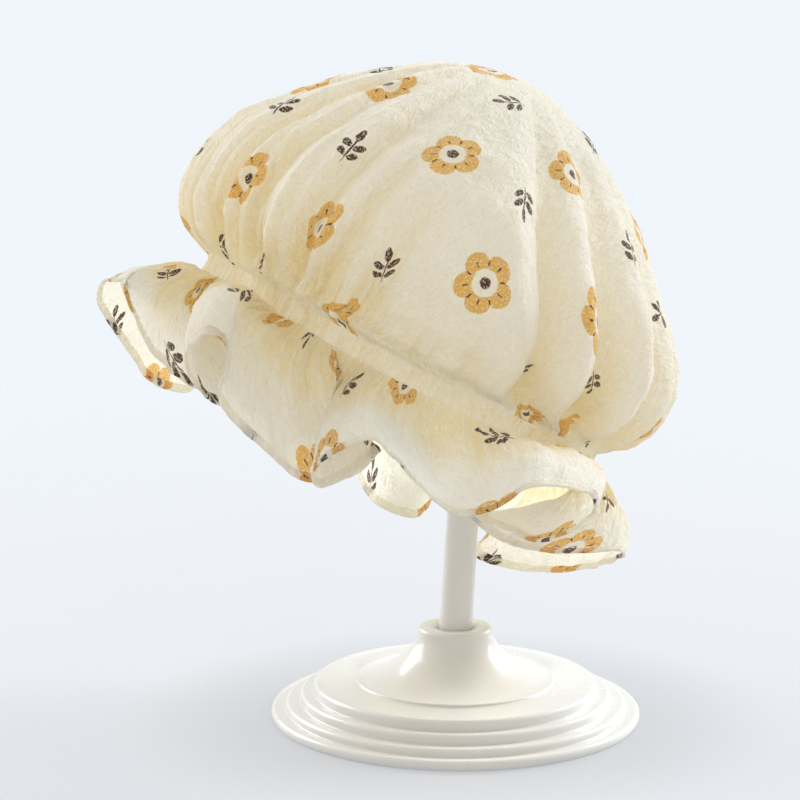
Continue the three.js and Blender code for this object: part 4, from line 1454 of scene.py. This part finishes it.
def plastic_material():
    """Glossy white moulded plastic with a faint flow mottle and fine scuffs."""
    material, tree, shader, _ = new_material("white moulded plastic")
    place = tree.nodes.new("ShaderNodeTexCoord").outputs["Object"]
    flow = noise(tree, place, FLOW_SCALE, detail=3.0)
    colour = blend_colours(tree, remap(tree, flow, *FLOW_SEEN), *PLASTIC_COLOURS)
    plug(tree, shader.inputs["Base Color"], colour)
    scuffs = remap(tree, noise(tree, place, SCUFF_SCALE, detail=3.0), *SCUFF_SEEN)
    flow_rough = remap(tree, flow, *FLOW_ROUGH_SEEN, *FLOW_ROUGH)
    plug(tree, shader.inputs["Roughness"], calc(tree, "MULTIPLY_ADD", scuffs, SCUFF_ROUGH, flow_rough))
    shader.inputs["IOR"].default_value = PLASTIC_IOR
    shader.inputs["Coat Weight"].default_value = PLASTIC_COAT
    shader.inputs["Coat Roughness"].default_value = PLASTIC_COAT_ROUGH
    return material


# Stage

def floor_material():
    """A pale floor with its own soft light and a painted shadow that makes it a little darker beside the
    base, that fades out at its rim.
    """
    material, tree, shader, output = new_material("pale floor")
    place = tree.nodes.new("ShaderNodeTexCoord").outputs["Object"]
    cloud = noise(tree, place, FLOOR_CLOUD_SCALE)
    away = vector_calc(tree, "LENGTH", place, output="Value")
    # Painted shadow: the floor's own light is dimmed close to the base
    painted_base_shadow = remap(tree, away, *FLOOR_SHADOW_FADE, FLOOR_PAINTED_SHADOW, 1.0)
    glow = blend_colours(tree, cloud, *FLOOR_GLOWS)
    plug(tree, shader.inputs["Base Color"], blend_colours(tree, cloud, *FLOOR_COLOURS))
    plug(tree, shader.inputs["Emission Color"], scaled(tree, glow, painted_base_shadow))
    shader.inputs["Emission Strength"].default_value = 1.0
    shader.inputs["Roughness"].default_value = FLOOR_ROUGH
    shader.inputs["Specular IOR Level"].default_value = FLOOR_SPECULAR
    clear = tree.nodes.new("ShaderNodeBsdfTransparent")
    mix_shaders(tree, remap(tree, away, FLOOR_FADE, FLOOR_RADIUS), shader, clear, output)
    return material


def make_stage():
    """The round floor that the stand is on."""
    angle = np.arange(FLOOR_SIDES) * 2 * math.pi / FLOOR_SIDES
    rim = np.stack([np.cos(angle), np.sin(angle), np.zeros(FLOOR_SIDES)], axis=-1) * FLOOR_RADIUS / MM
    make_piece("floor", rim, [list(range(FLOOR_SIDES))], floor_material())


def area_light(name, place, size, power, colour):
    """A rectangular light that faces the cap."""
    light = bpy.data.lights.new(name, "AREA")
    light.shape = "RECTANGLE"
    light.size, light.size_y = size
    light.energy = power
    light.color = colour
    lamp = bpy.data.objects.new(name, light)
    lamp.location = place
    direction = Vector(LIGHT_TARGET) - Vector(place)
    lamp.rotation_euler = direction.to_track_quat("-Z", "Y").to_euler()
    bpy.context.scene.collection.objects.link(lamp)


def make_light():
    """Two cool lights behind the cap, the brighter one on the right, and a soft warm fill at the front."""
    for light in LIGHTS:
        area_light(*light)
    world = bpy.data.worlds.new("studio")
    bpy.context.scene.world = world
    world.use_nodes = True
    tree = world.node_tree
    tree.nodes.clear()
    direction = tree.nodes.new("ShaderNodeTexCoord").outputs["Generated"]
    facing = vector_calc(tree, "DOT_PRODUCT", direction, COOL_SIDE, output="Value")
    colour = blend_colours(tree, remap(tree, facing, *COOL_FADE), *WORLD_COLOURS)
    background = tree.nodes.new("ShaderNodeBackground")
    plug(tree, background.inputs["Color"], colour)
    output = tree.nodes.new("ShaderNodeOutputWorld")
    tree.links.new(background.outputs[0], output.inputs[0])
    bpy.context.scene.view_settings.view_transform = "Standard"


def make_camera():
    """The camera at the photograph's own viewpoint."""
    camera = bpy.data.cameras.new("camera")
    camera.sensor_width = CAMERA_SENSOR
    camera.lens = CAMERA_LENS
    holder = bpy.data.objects.new("camera", camera)
    holder.location = CAMERA_PLACE
    holder.rotation_euler = (CAMERA_TILT, 0.0, 0.0)
    bpy.context.scene.collection.objects.link(holder)
    bpy.context.scene.camera = holder


# Putting it together

def make_stand():
    """The stand's three plastic pieces."""
    plastic = plastic_material()
    pieces = [
        (make_base(plastic), "stand_base"),
        (make_pole(plastic), "stand_pole"),
        (make_dome(plastic), "stand_dome"),
    ]
    for piece, node in pieces:
        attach(piece, "root")
        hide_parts(node)


def make_cap():
    """The cap's three pieces of cloth and its two kinds of stitches."""
    weave = gauze_weave_group()
    printed = cap_print_group()
    cloth = gauze_material("printed gauze", weave, printed)
    gathered = gauze_material("gathered gauze", weave)
    thread = thread_material()
    crown = make_crown(cloth)
    casing, casing_lines = make_casing(gathered)
    ruffle, hem_line, hem_inward = make_ruffle(cloth)
    casing_stitches = make_stitches("casing_stitches", casing_lines, CASING_STITCH_PITCH, thread)
    hem_stitches = make_stitches("hem_stitches", [(hem_line, -hem_inward)], HEM_STITCH_PITCH, thread)
    for piece, node in ((crown, "cap_crown"), (casing, "cap_casing"), (ruffle, "cap_ruffle")):
        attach(piece, "root")
        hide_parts(node)
    for piece in (casing_stitches, hem_stitches):
        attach(piece, "root")


make_camera()
make_light()
make_stage()
make_stand()
make_cap()
